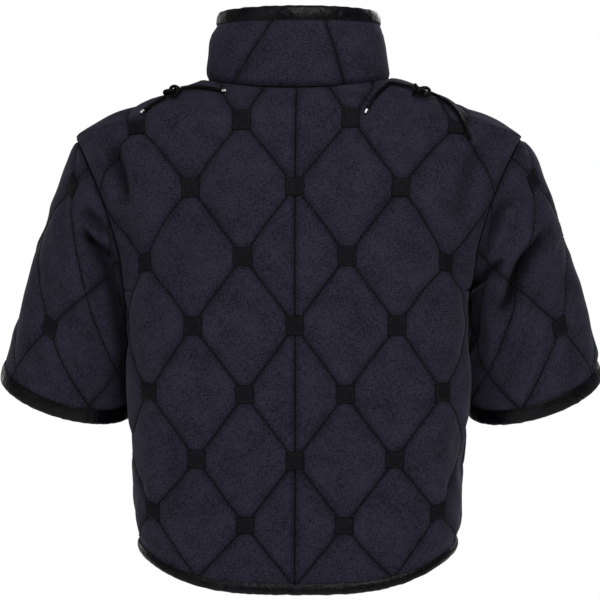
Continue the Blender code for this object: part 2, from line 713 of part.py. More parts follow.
# Each lace: x, z seen from behind, and how far it stands off the cloth.
LACES = {
    "lace_left_a": ((0.1295, -0.0110, 0.0045), (0.1200, -0.0095, 0.0036), (0.1090, -0.0100, 0.0032),
                    (0.0960, -0.0125, 0.0032), (0.0850, -0.0145, 0.0032)),
    "lace_left_b": ((0.1520, -0.0240, 0.0050), (0.1610, -0.0285, 0.0042), (0.1700, -0.0335, 0.0042),
                    (0.1765, -0.0382, 0.0045)),
    "lace_right_a": ((-0.1290, -0.0115, 0.0048), (-0.1200, -0.0080, 0.0042), (-0.1090, -0.0065, 0.0042),
                     (-0.0990, -0.0140, 0.0038), (-0.0885, -0.0265, 0.0036), (-0.0815, -0.0380, 0.0036)),
    "lace_right_b": ((-0.1525, -0.0190, 0.0058), (-0.1665, -0.0235, 0.0052), (-0.1765, -0.0310, 0.0047),
                     (-0.1855, -0.0430, 0.0047), (-0.1925, -0.0550, 0.0047), (-0.1985, -0.0700, 0.0045)),
}
KNOTS = {"lace_left_knot": (0.1410, -0.0175, 0.0060), "lace_right_knot": (-0.1405, -0.0175, 0.0060)}


def lift(x, z, off):
    p, n = back_surface(x, z)
    q = np.array([x, p[1], z]) + n * 0.0
    # on the panel's own plane through its nearest point, then off it
    q[1] = p[1] - ((x - p[0]) * n[0] + (z - p[2]) * n[2]) / max(n[1], 0.35)
    return q + n * off


def curve_through(points, step):
    points = np.array(points)
    s = np.concatenate([[0], np.cumsum(np.linalg.norm(np.diff(points, axis=0), axis=1))])
    dense = np.linspace(0, s[-1], 200)
    c = np.stack([through(s, points[:, i], dense) for i in range(3)], 1)
    d = np.concatenate([[0], np.cumsum(np.linalg.norm(np.diff(c, axis=0), axis=1))])
    n = max(4, int(round(d[-1] / step)))
    at = np.linspace(0, d[-1], n + 1)
    return np.stack([np.interp(at, d, c[:, i]) for i in range(3)], 1)


def tree_of(names):
    """The faces of some pieces, to lay a lace on."""
    verts, faces = [], []
    for name in names:
        mesh = bpy.data.objects[name].data
        base = len(verts)
        verts += [v.co.copy() for v in mesh.vertices]
        faces += [tuple(base + i for i in f.vertices) for f in mesh.polygons]
    return BVHTree.FromPolygons(verts, faces)


GROUND = tree_of([n for n in grids if n != "sleeve_left" and n != "sleeve_right"]
                 + ["patch_%02d" % k for k in range(1, 5)])


def laid(points, clear):
    """The points, each moved off the cloth until it clears it all round."""
    pts = [Vector(tuple(map(float, p))) for p in points]
    for _ in range(6):
        for k, p in enumerate(pts):
            at, n, _i, d = GROUND.find_nearest(p)
            signed = (p - at).dot(n)
            gap = d if signed >= 0 else -d
            if gap < clear:
                way = (p - at).normalized() if signed > 0 and d > 1e-6 else n
                pts[k] = at + way * (clear + 0.00005)
    return np.array([tuple(p) for p in pts])


for name, rows in LACES.items():
    line = curve_through([lift(*r) for r in rows], 2.0 * LACE)
    tube(name, laid(line, LACE / 2 + 0.0006), LACE, CORD)
for name, (x, z, off) in KNOTS.items():
    centre = lift(x, z, off)
    n = unit(back_surface(x, z)[1] + np.array([0, 0, 0.5]))
    u = unit(np.cross(n, (0.0, 0.0, 1.0)))
    w = np.cross(n, u)
    ring = []
    for i in range(34):
        t = 2 * math.pi * i / 34
        a = math.sin(t) + 2 * math.sin(2 * t)
        b = math.cos(t) - 2 * math.cos(2 * t)
        c = -math.sin(3 * t)
        ring.append(centre + u * a * 0.0035 + w * b * 0.0035 + n * c * 0.0030)
    low = min(0.0, min((Vector(tuple(p)) - GROUND.find_nearest(Vector(tuple(p)))[0]).dot(
        GROUND.find_nearest(Vector(tuple(p)))[1]) for p in ring) - LACE / 2 - 0.0006)
    tube(name, [p - n * low for p in ring], LACE, CORD, True)
TIPS = {"lace_left_tip_a": "lace_left_a", "lace_left_tip_b": "lace_left_b",
        "lace_right_tip_a": "lace_right_a"}
for name, lace in TIPS.items():
    pts = laid(curve_through([lift(*r) for r in LACES[lace]], 2.0 * LACE), LACE / 2 + 0.0006)
    way = unit(pts[-1] - pts[-2])
    for d in (0.0052, 0.0026):
        at, up, _i, far = GROUND.find_nearest(Vector(tuple(pts[-1] + way * d)))
        way = unit(way + np.array(up) * max(0.0, 0.0028 - far) / d)
    turned(name, ((0.0019, 0.0), (0.0021, 0.001), (0.0019, 0.004), (0.0011, 0.0052)),
           pts[-1] + way * 0.0004, way, TIP, 10)

# -------------------------------------------- the front's plain buttons and loops
BUTTON_QS = (0.62, 2.18, 3.74, 5.30)
for k, q in enumerate(BUTTON_QS, 1):
    p0, n0 = [], []
    for dq in (-0.1, 0.1):
        a = along(q + dq, "front", np.array([0.021 - 0.004, 0.021 + 0.004]))
        p0.append(a)
    p0 = np.array(p0)
    p0[:, :, 0] *= -1
    middle = p0.reshape(-1, 3).mean(0)
    n = unit(np.cross(p0[0, 1] - p0[0, 0], p0[1, 0] - p0[0, 0]))
    if n[1] > 0:
        n = -n
    base = middle + n * (LAY_GAP + 0.0030)
    turned("button_%d" % k, ((0.0034, 0.0), (0.0034, 0.0042), (BUTTON_R * 0.86, 0.0046),
                             (BUTTON_R, 0.0062), (BUTTON_R * 0.93, 0.0078),
                             (BUTTON_R * 0.55, 0.0092)), base, n, LEATHER)
    # the loop leaves the left front's binding and goes round the button's neck
    up = unit(p0[0, 0] - p0[1, 0])
    side = unit(np.cross(n, up))
    if side[0] < 0:
        side = -side
    loop = []
    for i in range(9):
        t = -math.pi / 2 + math.pi * i / 8
        loop.append(base + n * 0.0021 - side * math.cos(t) * 0.0052 + up * math.sin(t) * 0.0052)
    low = [loop[0] + side * d + n * h for d, h in ((0.030, 0.0006), (0.022, 0.0004), (0.012, 0.0))]
    high = [loop[-1] + side * d + n * h for d, h in ((0.012, 0.0), (0.022, 0.0004), (0.030, 0.0006))]
    tube("loop_%d" % k, low + loop + high, 0.0022, CORD)
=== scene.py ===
"""The gambeson as it looks: quilted wool panels with patched crossings, leather
bindings, laces tied on the shoulders, and plain buttons in front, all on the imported
frame.  Metres, +Z up, the wearer faces -Y, the wearer's left is +X."""
import math

import bpy
import numpy as np
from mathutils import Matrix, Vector
from mathutils.bvhtree import BVHTree
from mathutils.kdtree import KDTree


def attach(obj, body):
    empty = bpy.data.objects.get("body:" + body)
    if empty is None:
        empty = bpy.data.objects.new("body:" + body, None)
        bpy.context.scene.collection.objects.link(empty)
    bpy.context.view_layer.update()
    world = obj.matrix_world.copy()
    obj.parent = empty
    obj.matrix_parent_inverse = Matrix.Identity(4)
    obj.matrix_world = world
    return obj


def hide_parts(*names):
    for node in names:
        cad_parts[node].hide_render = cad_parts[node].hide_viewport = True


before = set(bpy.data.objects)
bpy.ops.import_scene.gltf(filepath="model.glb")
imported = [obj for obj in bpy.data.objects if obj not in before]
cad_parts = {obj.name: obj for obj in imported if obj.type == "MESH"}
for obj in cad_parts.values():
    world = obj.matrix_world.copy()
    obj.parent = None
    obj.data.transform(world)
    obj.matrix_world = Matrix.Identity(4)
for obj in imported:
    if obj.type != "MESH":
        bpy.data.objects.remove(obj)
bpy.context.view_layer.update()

RNG = np.random.default_rng(20)

# ------------------------------------------------------------ the camera and light
DIST, TURN, AIM_Z, SPAN, MID_PX = 2.7, math.radians(2.0), -0.254, 0.708, 298.5
VIEW = np.array([math.sin(TURN), -math.cos(TURN), 0.0])
RIGHT = np.array([-math.cos(TURN), -math.sin(TURN), 0.0])


def seen(px, py, y):
    """Where the line of sight through a point of the 600 x 600 picture meets the
    upright plane at y: x, z."""
    u = (px - MID_PX) / 600 * SPAN / DIST
    v = (300 - py) / 600 * SPAN / DIST
    eye = -VIEW * DIST
    t = (y - eye[1]) / (VIEW[1] + u * RIGHT[1])
    return eye[0] + t * (VIEW[0] + u * RIGHT[0]), AIM_Z + t * v


cam = bpy.data.cameras.new("camera")
cam.lens, cam.sensor_width = 36.0 * DIST / SPAN, 36.0
cam.shift_x = (300 - MID_PX) / 600
cam.clip_start, cam.clip_end = 0.05, 60.0
eye = bpy.data.objects.new("camera", cam)
bpy.context.collection.objects.link(eye)
eye.location = tuple(-VIEW * DIST + np.array([0, 0, AIM_Z]))
eye.rotation_euler = Vector(VIEW).to_track_quat("-Z", "Y").to_euler()
bpy.context.scene.camera = eye


def area_light(name, at, aim, size, power, colour=(1, 1, 1)):
    data = bpy.data.lights.new(name, "AREA")
    data.shape, data.size, data.size_y = "RECTANGLE", size[0], size[1]
    data.energy, data.color = power, colour
    obj = bpy.data.objects.new(name, data)
    bpy.context.collection.objects.link(obj)
    obj.location = at
    obj.rotation_euler = (Vector(aim) - Vector(at)).to_track_quat("-Z", "Y").to_euler()


area_light("key", (-0.35, 1.85, 1.0), (0, 0, -0.22), (0.9, 0.9), 23.5)
area_light("fill", (2.1, 1.8, 0.1), (0, 0, -0.3), (1.2, 1.6), 5)
area_light("top", (-0.6, 1.1, 1.9), (0, 0, -0.2), (1.8, 1.2), 6)
area_light("front_key", (-1.2, -2.4, 0.9), (0, 0, -0.2), (1.4, 1.4), 24)
area_light("front_fill", (1.9, -2.0, 0.3), (0, 0, -0.3), (1.2, 1.6), 9)

world = bpy.data.worlds.new("studio")
bpy.context.scene.world = world
world.use_nodes = True
sky = world.node_tree
sky.nodes["Background"].inputs["Color"].default_value = (1.0, 1.0, 1.0, 1.0)
seen_or_lit = sky.nodes.new("ShaderNodeLightPath")
level = sky.nodes.new("ShaderNodeMapRange")      # a white ground seen, a dim room around
level.inputs["To Min"].default_value, level.inputs["To Max"].default_value = 0.20, 1.0
sky.links.new(seen_or_lit.outputs["Is Camera Ray"], level.inputs["Value"])
sky.links.new(level.outputs["Result"], sky.nodes["Background"].inputs["Strength"])
bpy.context.scene.view_settings.view_transform = "Standard"

# --------------------------------------------------------------- driving sizes
WALL = 0.0045
PUFF = 0.0046
SEAM_GAP = 0.00002
PATCH_P = 0.185
LAY_GAP = 0.0003
BIND = 0.0012
BIND_HEM = 0.0115
BIND_COLLAR = 0.0140
BIND_CUFF = 0.0160
FRONT_EDGE = 0.0024
LACE = 0.0042
BUTTON_R = 0.0085
ROW_M = 0.0763          # metres down the body for each half diamond
LINES_APART = 0.0910    # between neighbouring stitch lines of one family
LINE_STEP = 0.0950      # from crossing to crossing along a line
HALF_DIAMOND = ((-0.45, 0.0640), (0.00, 0.0625), (1.00, 0.0600), (2.00, 0.0588),
                (4.00, 0.0568), (6.00, 0.0560), (7.10, 0.0560))
SECTIONS = (
    #  q      zb      yb      zf      yf      xs      zs     n    m
    (-0.45, -0.009, 0.070, -0.045, -0.084, 0.1065, 0.004, 2.0, 2.0),
    (-0.31, -0.019, 0.077, -0.056, -0.090, 0.1830, -0.023, 2.0, 2.0),
    (-0.14, -0.034, 0.085, -0.070, -0.097, 0.2610, -0.065, 2.0, 2.0),
    (0.14, -0.059, 0.095, -0.092, -0.105, 0.2560, -0.076, 2.1, 1.4),
    (0.50, -0.087, 0.106, -0.118, -0.115, 0.2400, -0.095, 2.4, 1.15),
    (1.00, -0.126, 0.116, -0.152, -0.126, 0.2250, -0.140, 2.7, 1.10),
    (1.50, -0.165, 0.122, -0.184, -0.132, 0.2130, -0.180, 3.0, 1.15),
    (2.00, -0.205, 0.124, -0.215, -0.134, 0.2030, -0.225, 3.2, 1.45),
    (2.50, -0.244, 0.122, -0.249, -0.133, 0.2000, -0.243, 3.5, 2.40),
    (3.00, -0.283, 0.118, -0.284, -0.130, 0.1985, -0.283, 3.7, 3.00),
    (4.00, -0.361, 0.111, -0.357, -0.121, 0.1960, -0.357, 3.8, 3.30),
    (5.00, -0.436, 0.111, -0.428, -0.116, 0.1930, -0.424, 3.8, 3.30),
    (6.00, -0.509, 0.119, -0.493, -0.117, 0.1890, -0.483, 3.7, 3.20),
    (7.10, -0.583, 0.129, -0.553, -0.121, 0.1845, -0.540, 3.6, 3.20),
)
SECTION_COLUMNS = ("q", "zb", "yb", "zf", "yf", "xs", "zs", "n", "m")
ARM_TOP = (0.2610, 0.0, -0.065)
ARM_BOTTOM = (0.2000, 0.0, -0.243)
ARM_BACK, ARM_FRONT = 0.058, 0.060
ARM_DIP = 0.010
Q_TOP, Q_BOTTOM = -0.14, 2.50
CUFF_MID = (0.2804, -0.048, -0.3655)
CUFF_WIDE, CUFF_DEEP = 0.0808, 0.0680
CUFF_LIFT = math.radians(17.5)
ARM_FORWARD = math.radians(21.0)
CAP_LEFT, CAP_RIGHT = 0.0050, 0.0115
COLLAR_WIDE, COLLAR_DEEP, COLLAR_Y = 0.0925, 0.0700, -0.004
COLLAR_Z_BACK, COLLAR_Z_SIDE, COLLAR_Z_FRONT = 0.083, 0.083, 0.052

# Each sleeve's two patched crossings: turn round it in degrees and how far down.
SLEEVE_PATCHES = {1: ((41.0, 0.118), (67.0, 0.642)), -1: ((31.0, 0.135), (57.0, 0.672))}
SLEEVE_HALF = math.radians(38.0)
# How far two of the back's crossings stand from the even pattern.
SHIFTED = {(3, 2): (0.15, -0.07), (-3, 2): (0.07, -0.05)}

# The main creases, each along a line of points, then depth, half width, and how much
# the cloth stands up on its left and right.  Those seen from behind are placed on the
# picture at about the depth y.
CREASES = (
    # the wearer's left back, from the armhole down
    ("back", 0.070, ((106, 138), (116, 157), (124, 181), (129, 210)), 0.0088, 0.0082, 0.10, 0.30),
    ("back", 0.080, ((118, 206), (127, 230), (126, 262)), 0.0032, 0.0086, 0.1, 0.2),
    # the right back's softer one
    ("back", 0.075, ((478, 142), (468, 168), (461, 196), (457, 226)), 0.0052, 0.0106, 0.25, 0.1),
    ("back", 0.100, ((452, 236), (455, 268), (452, 296)), 0.0020, 0.0115, 0.1, 0.1),
    # drag lines over the back, hardly there
    ("back", 0.118, ((166, 150), (214, 214), (228, 236)), 0.0014, 0.0144, 0.2, 0.2),
    ("back", 0.118, ((420, 146), (384, 206), (366, 236)), 0.0013, 0.0144, 0.2, 0.2),
    ("back", 0.112, ((158, 425), (176, 470), (181, 505)), 0.0020, 0.0134, 0.2, 0.2),
    ("back", 0.100, ((452, 425), (455, 462), (452, 505)), 0.0043, 0.0106, 0.3, 0.3),
    ("back", 0.100, ((136, 452), (140, 480), (139, 502)), 0.0029, 0.0086, 0.3, 0.2),
    # left sleeve: two folds that run down into the gap at the body
    ("sleeve_back", 0.050, ((80, 204), (94, 219), (104, 230), (113, 239)), 0.0062, 0.0056, 0.45, 0.05),
    ("sleeve_back", 0.045, ((82, 227), (92, 241), (103, 250), (112, 257), (118, 268)), 0.0125, 0.0065, 0.30, 0.25),
    ("sleeve_back", 0.030, ((99, 262), (101, 270), (99, 278)), 0.0025, 0.0029, 0.5, 0.3),
    ("sleeve_back", 0.030, ((104, 286), (112, 312), (118, 345)), 0.0034, 0.0096, 0.2, 0.2),
    ("sleeve_back", 0.040, ((63, 196), (62, 220), (66, 244)), 0.0025, 0.0058, 0.5, 0.5),
    # right sleeve: a hollow along the seam, a thin fold, a wide deep one below it
    ("sleeve_back", 0.045, ((513, 193), (498, 215), (487, 240), (480, 266)), 0.0060, 0.0065, 0.1, 0.3),
    ("sleeve_back", 0.045, ((462, 294), (475, 285), (490, 273), (505, 263)), 0.0071, 0.0050, 0.40, 0.05),
    ("sleeve_back", 0.045, ((548, 226), (537, 246), (524, 263), (516, 281), (508, 300), (496, 316)), 0.0165, 0.0077, 0.20, 0.35),
    ("sleeve_back", 0.040, ((486, 236), (494, 214), (505, 197)), 0.0034, 0.0086, 0.1, 0.2),
    ("sleeve_back", 0.030, ((480, 318), (476, 338), (474, 360)), 0.0040, 0.0077, 0.2, 0.2),
    ("sleeve_back", 0.030, ((566, 262), (562, 286), (566, 304)), 0.0019, 0.0077, 0.3, 0.3),
)
# Where a sleeve lies against the body, seen from behind: point, and how wide the strip of painted shade is there.
TOUCHING = (
    ((96, 240, 0.0040), (108, 252, 0.0090), (117, 270, 0.0120), (122, 292, 0.0098), (125, 320, 0.0085),
     (127, 350, 0.0075), (128, 404, 0.0068)),
    ((496, 262, 0.0036), (480, 276, 0.0082), (472, 290, 0.0120), (470, 312, 0.0105), (468, 345, 0.0080),
     (467, 404, 0.0068)),
)
FRONT_CREASES = (
    # x, z of each point, seen or felt from the front
    ("front", ((0.2020, -0.098), (0.1950, -0.130), (0.1860, -0.165)), 0.0058, 0.0086, 0.1, 0.3),
    ("front", ((-0.2040, -0.092), (-0.1980, -0.126), (-0.1900, -0.162)), 0.0058, 0.0084, 0.3, 0.1),
    ("front", ((0.1500, -0.420), (0.1620, -0.455), (0.1600, -0.500)), 0.0032, 0.0106, 0.2, 0.2),
    ("front", ((-0.1560, -0.410), (-0.1640, -0.450), (-0.1590, -0.490)), 0.0035, 0.0106, 0.2, 0.2),
    ("front", ((0.0900, -0.120), (0.0560, -0.180), (0.0450, -0.220)), 0.0014, 0.0144, 0.2, 0.2),
    ("front", ((-0.0940, -0.116), (-0.0600, -0.176), (-0.0500, -0.214)), 0.0014, 0.0144, 0.2, 0.2),
    ("sleeve_front", ((0.2560, -0.146), (0.2380, -0.166), (0.2180, -0.190)), 0.0070, 0.0060, 0.4, 0.1),
    ("sleeve_front", ((0.2640, -0.184), (0.2420, -0.206), (0.2220, -0.224), (0.2140, -0.252)), 0.0132, 0.0072, 0.3, 0.25),
    ("sleeve_front", ((-0.2500, -0.142), (-0.2340, -0.162), (-0.2160, -0.186)), 0.0078, 0.0060, 0.1, 0.4),
    ("sleeve_front", ((-0.2700, -0.182), (-0.2460, -0.206), (-0.2240, -0.228), (-0.2160, -0.256)), 0.0132, 0.0075, 0.25, 0.3),
)

# Stitch lines on the collar: turn from the middle of the back in degrees, at the
# seam and at the top.
COLLAR_LINES = ((-162.0, -148.0), (-126.0, -112.0), (-92.0, -84.0), (-31.0, -18.0),
                (44.0, 12.0), (94.0, 86.0), (128.0, 112.0), (164.0, 150.0))


# ------------------------------------------------------------------ small maths
def unit(v):
    v = np.asarray(v, float)
    return v / np.maximum(np.linalg.norm(v, axis=-1, keepdims=True), 1e-12)


def smooth(x):
    x = np.clip(x, 0.0, 1.0)
    return x * x * (3.0 - 2.0 * x)


def through(xk, yk, x):
    """A smooth curve through a table that never overshoots its rows."""
    xk, yk, x = np.asarray(xk, float), np.asarray(yk, float), np.asarray(x, float)
    h = np.diff(xk)
    d = np.diff(yk) / h
    m = np.zeros_like(yk)
    m[0], m[-1] = d[0], d[-1]
    for i in range(1, len(xk) - 1):
        if d[i - 1] * d[i] > 0:
            w1, w2 = 2 * h[i] + h[i - 1], h[i] + 2 * h[i - 1]
            m[i] = (w1 + w2) / (w1 / d[i - 1] + w2 / d[i])
    k = np.clip(np.searchsorted(xk, x) - 1, 0, len(h) - 1)
    t = (x - xk[k]) / h[k]
    return ((1 + 2 * t) * (1 - t) ** 2 * yk[k] + t * (1 - t) ** 2 * h[k] * m[k]
            + t * t * (3 - 2 * t) * yk[k + 1] + t * t * (t - 1) * h[k] * m[k + 1])


def section(q):
    cols = list(zip(*SECTIONS))
    return {name: float(through(cols[0], cols[i], q))
            for i, name in enumerate(SECTION_COLUMNS) if i}


def half_diamond(q):
    qs, hs = zip(*HALF_DIAMOND)
    return np.interp(q, qs, hs)


def wobble(points, length, seed):
    """Smooth uneven waves of about the given length, mostly between -1 and 1."""
    r = np.random.default_rng(seed)
    out = np.zeros(points.shape[:-1])
    for _ in range(16):
        d = unit(r.normal(size=3))
        k = 2 * math.pi / length * r.uniform(0.65, 1.45)
        out += np.sin(points @ d * k + r.uniform(0, 2 * math.pi))
    return out / 3.6


# ------------------------------------------------------------- the body's form
def armhole(q, face):
    f = math.pi * (q - Q_TOP) / (Q_BOTTOM - Q_TOP)
    w = (1 + math.cos(f)) / 2
    x = ARM_BOTTOM[0] + (ARM_TOP[0] - ARM_BOTTOM[0]) * w - ARM_DIP * math.sin(f) ** 2
    z = ARM_BOTTOM[2] + (ARM_TOP[2] - ARM_BOTTOM[2]) * w
    y = (ARM_BACK if face == "back" else -ARM_FRONT) * math.sin(f)
    return x, y, z


def body_line(q, face, steps=500):
    s = section(q)
    xs, ys, zs = s["xs"], 0.0, s["zs"]
    if Q_TOP <= q <= Q_BOTTOM:
        xs, ys, zs = armhole(q, face)
    yc, zc = (s["yb"], s["zb"]) if face == "back" else (s["yf"], s["zf"])
    r = 1 - (1 - np.linspace(0, 1, steps)) ** 2.2
    r[-1] = 1.0
    x = xs * r
    y = ys + (yc - ys) * (1 - r ** s["n"]) ** (1 / s["m"])
    rise = 2.3 + 2.2 * float(smooth(q)) - 1.4 * float(smooth((q - 5.2) / 1.9))
    z = zc + (zs - zc) * r ** rise
    pts = np.stack([x, y, z], 1)
    arc = np.concatenate([[0], np.cumsum(np.linalg.norm(np.diff(pts, axis=0), axis=1))])
    return arc, pts


def along(q, face, arcs):
    arc, pts = body_line(q, face)
    arcs = np.clip(arcs, 0, arc[-1])
    return np.stack([np.interp(arcs, arc, pts[:, i]) for i in range(3)], 1)


def body_panel(face, side, qs, cs, tail):
    """Grid of a half back or half front, and how far out along it each point lies."""
    rows, arcs_all = [], []
    for q in qs:
        qa = max(q, Q_TOP)
        arc, pts = body_line(q, face)
        end = arc[-1]
        end_a = end if qa == q else body_line(qa, face)[0][-1]
        start = 0.0 if face == "back" else FRONT_EDGE
        hd = float(half_diamond(qa))
        fixed = cs * hd
        if face == "front":
            fixed = np.where(cs <= PATCH_P, start + cs / PATCH_P * BIND_HEM, np.where(
                cs < 0.5, np.interp(cs, (PATCH_P, 0.5), (start + BIND_HEM, 0.5 * hd)), fixed))
        arcs = np.concatenate([fixed, fixed[-1] + (end_a - fixed[-1]) * tail])
        if q < Q_TOP:
            arcs = start + (arcs - start) * (end - start) / (end_a - start)
        rows.append(np.stack([np.interp(arcs, arc, pts[:, i]) for i in range(3)], 1))
        rows[-1][-1] = pts[-1]
        arcs_all.append(arcs)
    grid = np.array(rows)
    grid[:, :, 0] *= side
    return grid, np.array(arcs_all)


def sleeve_points(side, start, turn, v):
    """Points of the sleeve, as part of the frame has them; v may differ by column."""
    e1 = np.array([math.cos(CUFF_LIFT), 0.0, math.sin(CUFF_LIFT)])
    down = np.array([math.sin(CUFF_LIFT), 0.0, -math.cos(CUFF_LIFT)])
    e2 = math.sin(ARM_FORWARD) * down + math.cos(ARM_FORWARD) * np.array([0.0, 1.0, 0.0])
    c, s = np.cos(turn)[:, None], np.sin(turn)[:, None]
    v = np.broadcast_to(v, turn.shape)[:, None]
    end = np.array(CUFF_MID) + CUFF_WIDE * c * e1 + CUFF_DEEP * s * e2
    start = start * np.array([1.0, 1.0, 1.0])
    start[:, 0] = np.abs(start[:, 0])
    p = start + (end - start) * v
    out = c * e1 + s * e2
    top, low = np.maximum(0.0, c) ** 1.5, np.maximum(0.0, -c) ** 1.5
    cap = CAP_LEFT if side > 0 else CAP_RIGHT
    p = p + out * (cap * top + 0.007 * np.abs(s)) * np.sin(math.pi * v ** 0.75)
    leave = (1 - np.exp(-v / 0.035)) * (1 - v)
    p = p + low * leave * np.array([0.0055, 0.0, 0.0045])
    p[:, 0] *= side
    return p


def edge_steps(reach):
    return np.array([0.0, 0.0010, 0.0026, 0.30 * reach, 0.52 * reach, 0.74 * reach,
                     reach - 0.0012, reach])


def grid_normals(grid, outward, ring=False):
    if ring:
        g = np.concatenate([grid[:, -1:], grid, grid[:, :1]], 1)
        du = g[:, 2:] - g[:, :-2]
    else:
        du = np.gradient(grid, axis=1)
    dv = np.gradient(grid, axis=0)
    n = unit(np.cross(du, dv))
    if np.sum(n * outward) < 0:
        n = -n
    return n


def runs(grid):
    """How far each point is from the grid's first and last column, first and last row."""
    across = np.linalg.norm(np.diff(grid, axis=1), axis=-1)
    down = np.linalg.norm(np.diff(grid, axis=0), axis=-1)
    first = np.concatenate([np.zeros((len(grid), 1)), np.cumsum(across, 1)], 1)
    top = np.concatenate([np.zeros((1, grid.shape[1])), np.cumsum(down, 0)], 0)
    return first, first[:, -1:] - first, top, top[-1:] - top


def field_gradient(grid, f, ring=False):
    """How steep a field is over a surface, in units per metre."""
    if ring:
        g = np.concatenate([grid[:, -1:], grid, grid[:, :1]], 1)
        xi = (g[:, 2:] - g[:, :-2]) / 2
        fi = np.gradient(f, axis=1)
        fi[:, 0], fi[:, -1] = fi[:, 1], fi[:, -2]
    else:
        xi, fi = np.gradient(grid, axis=1), np.gradient(f, axis=1)
    xj, fj = np.gradient(grid, axis=0), np.gradient(f, axis=0)
    e, m, g = (xi * xi).sum(-1), (xi * xj).sum(-1), (xj * xj).sum(-1)
    det = np.maximum(e * g - m * m, 1e-16)
    return np.sqrt(np.maximum((g * fi * fi - 2 * m * fi * fj + e * fj * fj) / det, 1e-6))


def crease_depth(points, face, behind):
    """How far the creases of one face sink the cloth, with the cloth pushed up beside."""
    d = np.zeros(points.shape[:-1])
    rows = [(f, [seen(px, py, y) for px, py in line], a, w, l, r)
            for f, y, line, a, w, l, r in CREASES] + list(FRONT_CREASES)
    xz = points[..., [0, 2]]
    for name, line, depth, width, left, right in rows:
        if name != face:
            continue
        line = np.array(line)
        if (line[0, 0] > 0) != (points[..., 0].mean() > 0):
            continue
        # rounded: the line's own points joined by a smooth curve
        s = np.concatenate([[0], np.cumsum(np.linalg.norm(np.diff(line, axis=0), axis=1))])
        t = np.linspace(0, s[-1], 24)
        fine = np.stack([through(s, line[:, 0], t), through(s, line[:, 1], t)], 1)
        lo, hi = fine.min(0) - 5 * width, fine.max(0) + 5 * width
        near = np.all((xz > lo) & (xz < hi), -1) & behind
        if not near.any():
            continue
        p = xz[near]
        ab = np.diff(fine, axis=0)
        rel = p[:, None] - fine[None, :-1]
        h = np.clip((rel * ab).sum(-1) / (ab * ab).sum(-1), 0, 1)
        off = rel - h[..., None] * ab
        dist = np.linalg.norm(off, axis=-1)
        k = dist.argmin(1)
        i = np.arange(len(p))
        sign = np.sign(ab[k, 0] * rel[i, k, 1] - ab[k, 1] * rel[i, k, 0])
        where = t[k] + h[i, k] * (t[1] - t[0])
        end = min(0.45 * s[-1], 3.2 * width)
        taper = smooth((where + 0.4 * width) / end) * smooth((s[-1] - where + 0.4 * width) / end)
        x = dist[i, k] / width
        trough = np.exp(-x ** 2 * (1 + 0.25 * np.sin(9 * where / s[-1])))
        bank = np.where(sign > 0, left, right) * np.exp(-((x - 1.9) / 0.85) ** 2)
        wide = 1 + 0.22 * np.sin(where / 0.017 + 40 * depth / width)
        d[near] += depth * taper * (trough - bank) * wide
    return d


def touching(points, normals, y):
    """How deep in the painted shade between sleeve and body a point lies, 0 to 1."""
    shade = np.zeros(points.shape[:-1])
    xz = points[..., [0, 2]]
    for rows in TOUCHING:
        line = np.array([seen(px, py, y) for px, py, _w in rows])
        wide = np.array([w for _x, _y, w in rows])
        for a, b, wa, wb in zip(line[:-1], line[1:], wide[:-1], wide[1:]):
            h = np.clip(((xz - a) * (b - a)).sum(-1) / ((b - a) ** 2).sum(), 0, 1)
            far = np.linalg.norm(xz - (a + h[..., None] * (b - a)), axis=-1)
            shade = np.maximum(shade, np.exp(-(far / (wa + (wb - wa) * h)) ** 2))
    return shade * smooth((normals[..., 1] + 0.75) / 0.5)


def drift(face, side, p, q):
    """How far the back's pattern is pulled from its even place at p, q."""
    if face != "back":
        return 0.0 * p, 0.0 * q
    dp, dq = SHIFTED[3 * side, 2]
    near = np.exp(-((p - 3 - dp) ** 2 + (q - 2 - dq) ** 2) / 0.85 ** 2)
    return dp * near, dq * near


def pulled(face, side, p, q):
    """Where the even pattern's point p, q lies."""
    at_p, at_q = p, q
    for _ in range(4):
        dp, dq = drift(face, side, at_p, at_q)
        at_p, at_q = p + dp, q + dq
    return at_p, at_q


# -------------------------------------------------------------------- fine grids
STEP = 0.050
FINE = [0.0, 0.016, 0.036, 0.062, 0.095, 0.135]
BACK_CS = np.array(FINE + list(np.arange(0.180, 3.501, STEP)))
FRONT_CS = np.array(list(PATCH_P * edge_steps(BIND_HEM) / BIND_HEM)
                    + list(np.arange(PATCH_P + 0.045, 3.501, STEP)))
TAIL = np.array(list(np.linspace(0, 1, 24)[1:-2]) + [0.955, 0.975, 0.988, 1.0])
HEM_Q = 7.10 - edge_steps(BIND_HEM)[::-1] / ROW_M
QS = np.concatenate([np.linspace(-0.45, Q_TOP, 44)[:-1], np.linspace(Q_TOP, Q_BOTTOM, 82)[:-1],
                     np.linspace(Q_BOTTOM, HEM_Q[0], 132)[:-1], HEM_Q])
I_TOP, I_BOTTOM = int(np.argmin(np.abs(QS - Q_TOP))), int(np.argmin(np.abs(QS - Q_BOTTOM)))

grids = {}
for face in ("back", "front"):
    for side, word in ((1, "left"), (-1, "right")):
        base, arcs = body_panel(face, side, QS, BACK_CS if face == "back" else FRONT_CS, TAIL)
        p = arcs / half_diamond(QS)[:, None]
        q = np.repeat(QS[:, None], base.shape[1], 1)
        dp, dq = drift(face, side, p, q)
        pe, qe = p - dp, q - dq
        grids[face + "_" + word] = dict(
            base=base, arcs=arcs, face=face, side=side, ring=False,
            a=(pe + qe + 1) / 2 + 8, b=(pe - qe + 1) / 2 + 8,
            uv=np.stack([side * arcs, runs(base)[2][I_TOP] - runs(base)[2]], -1))

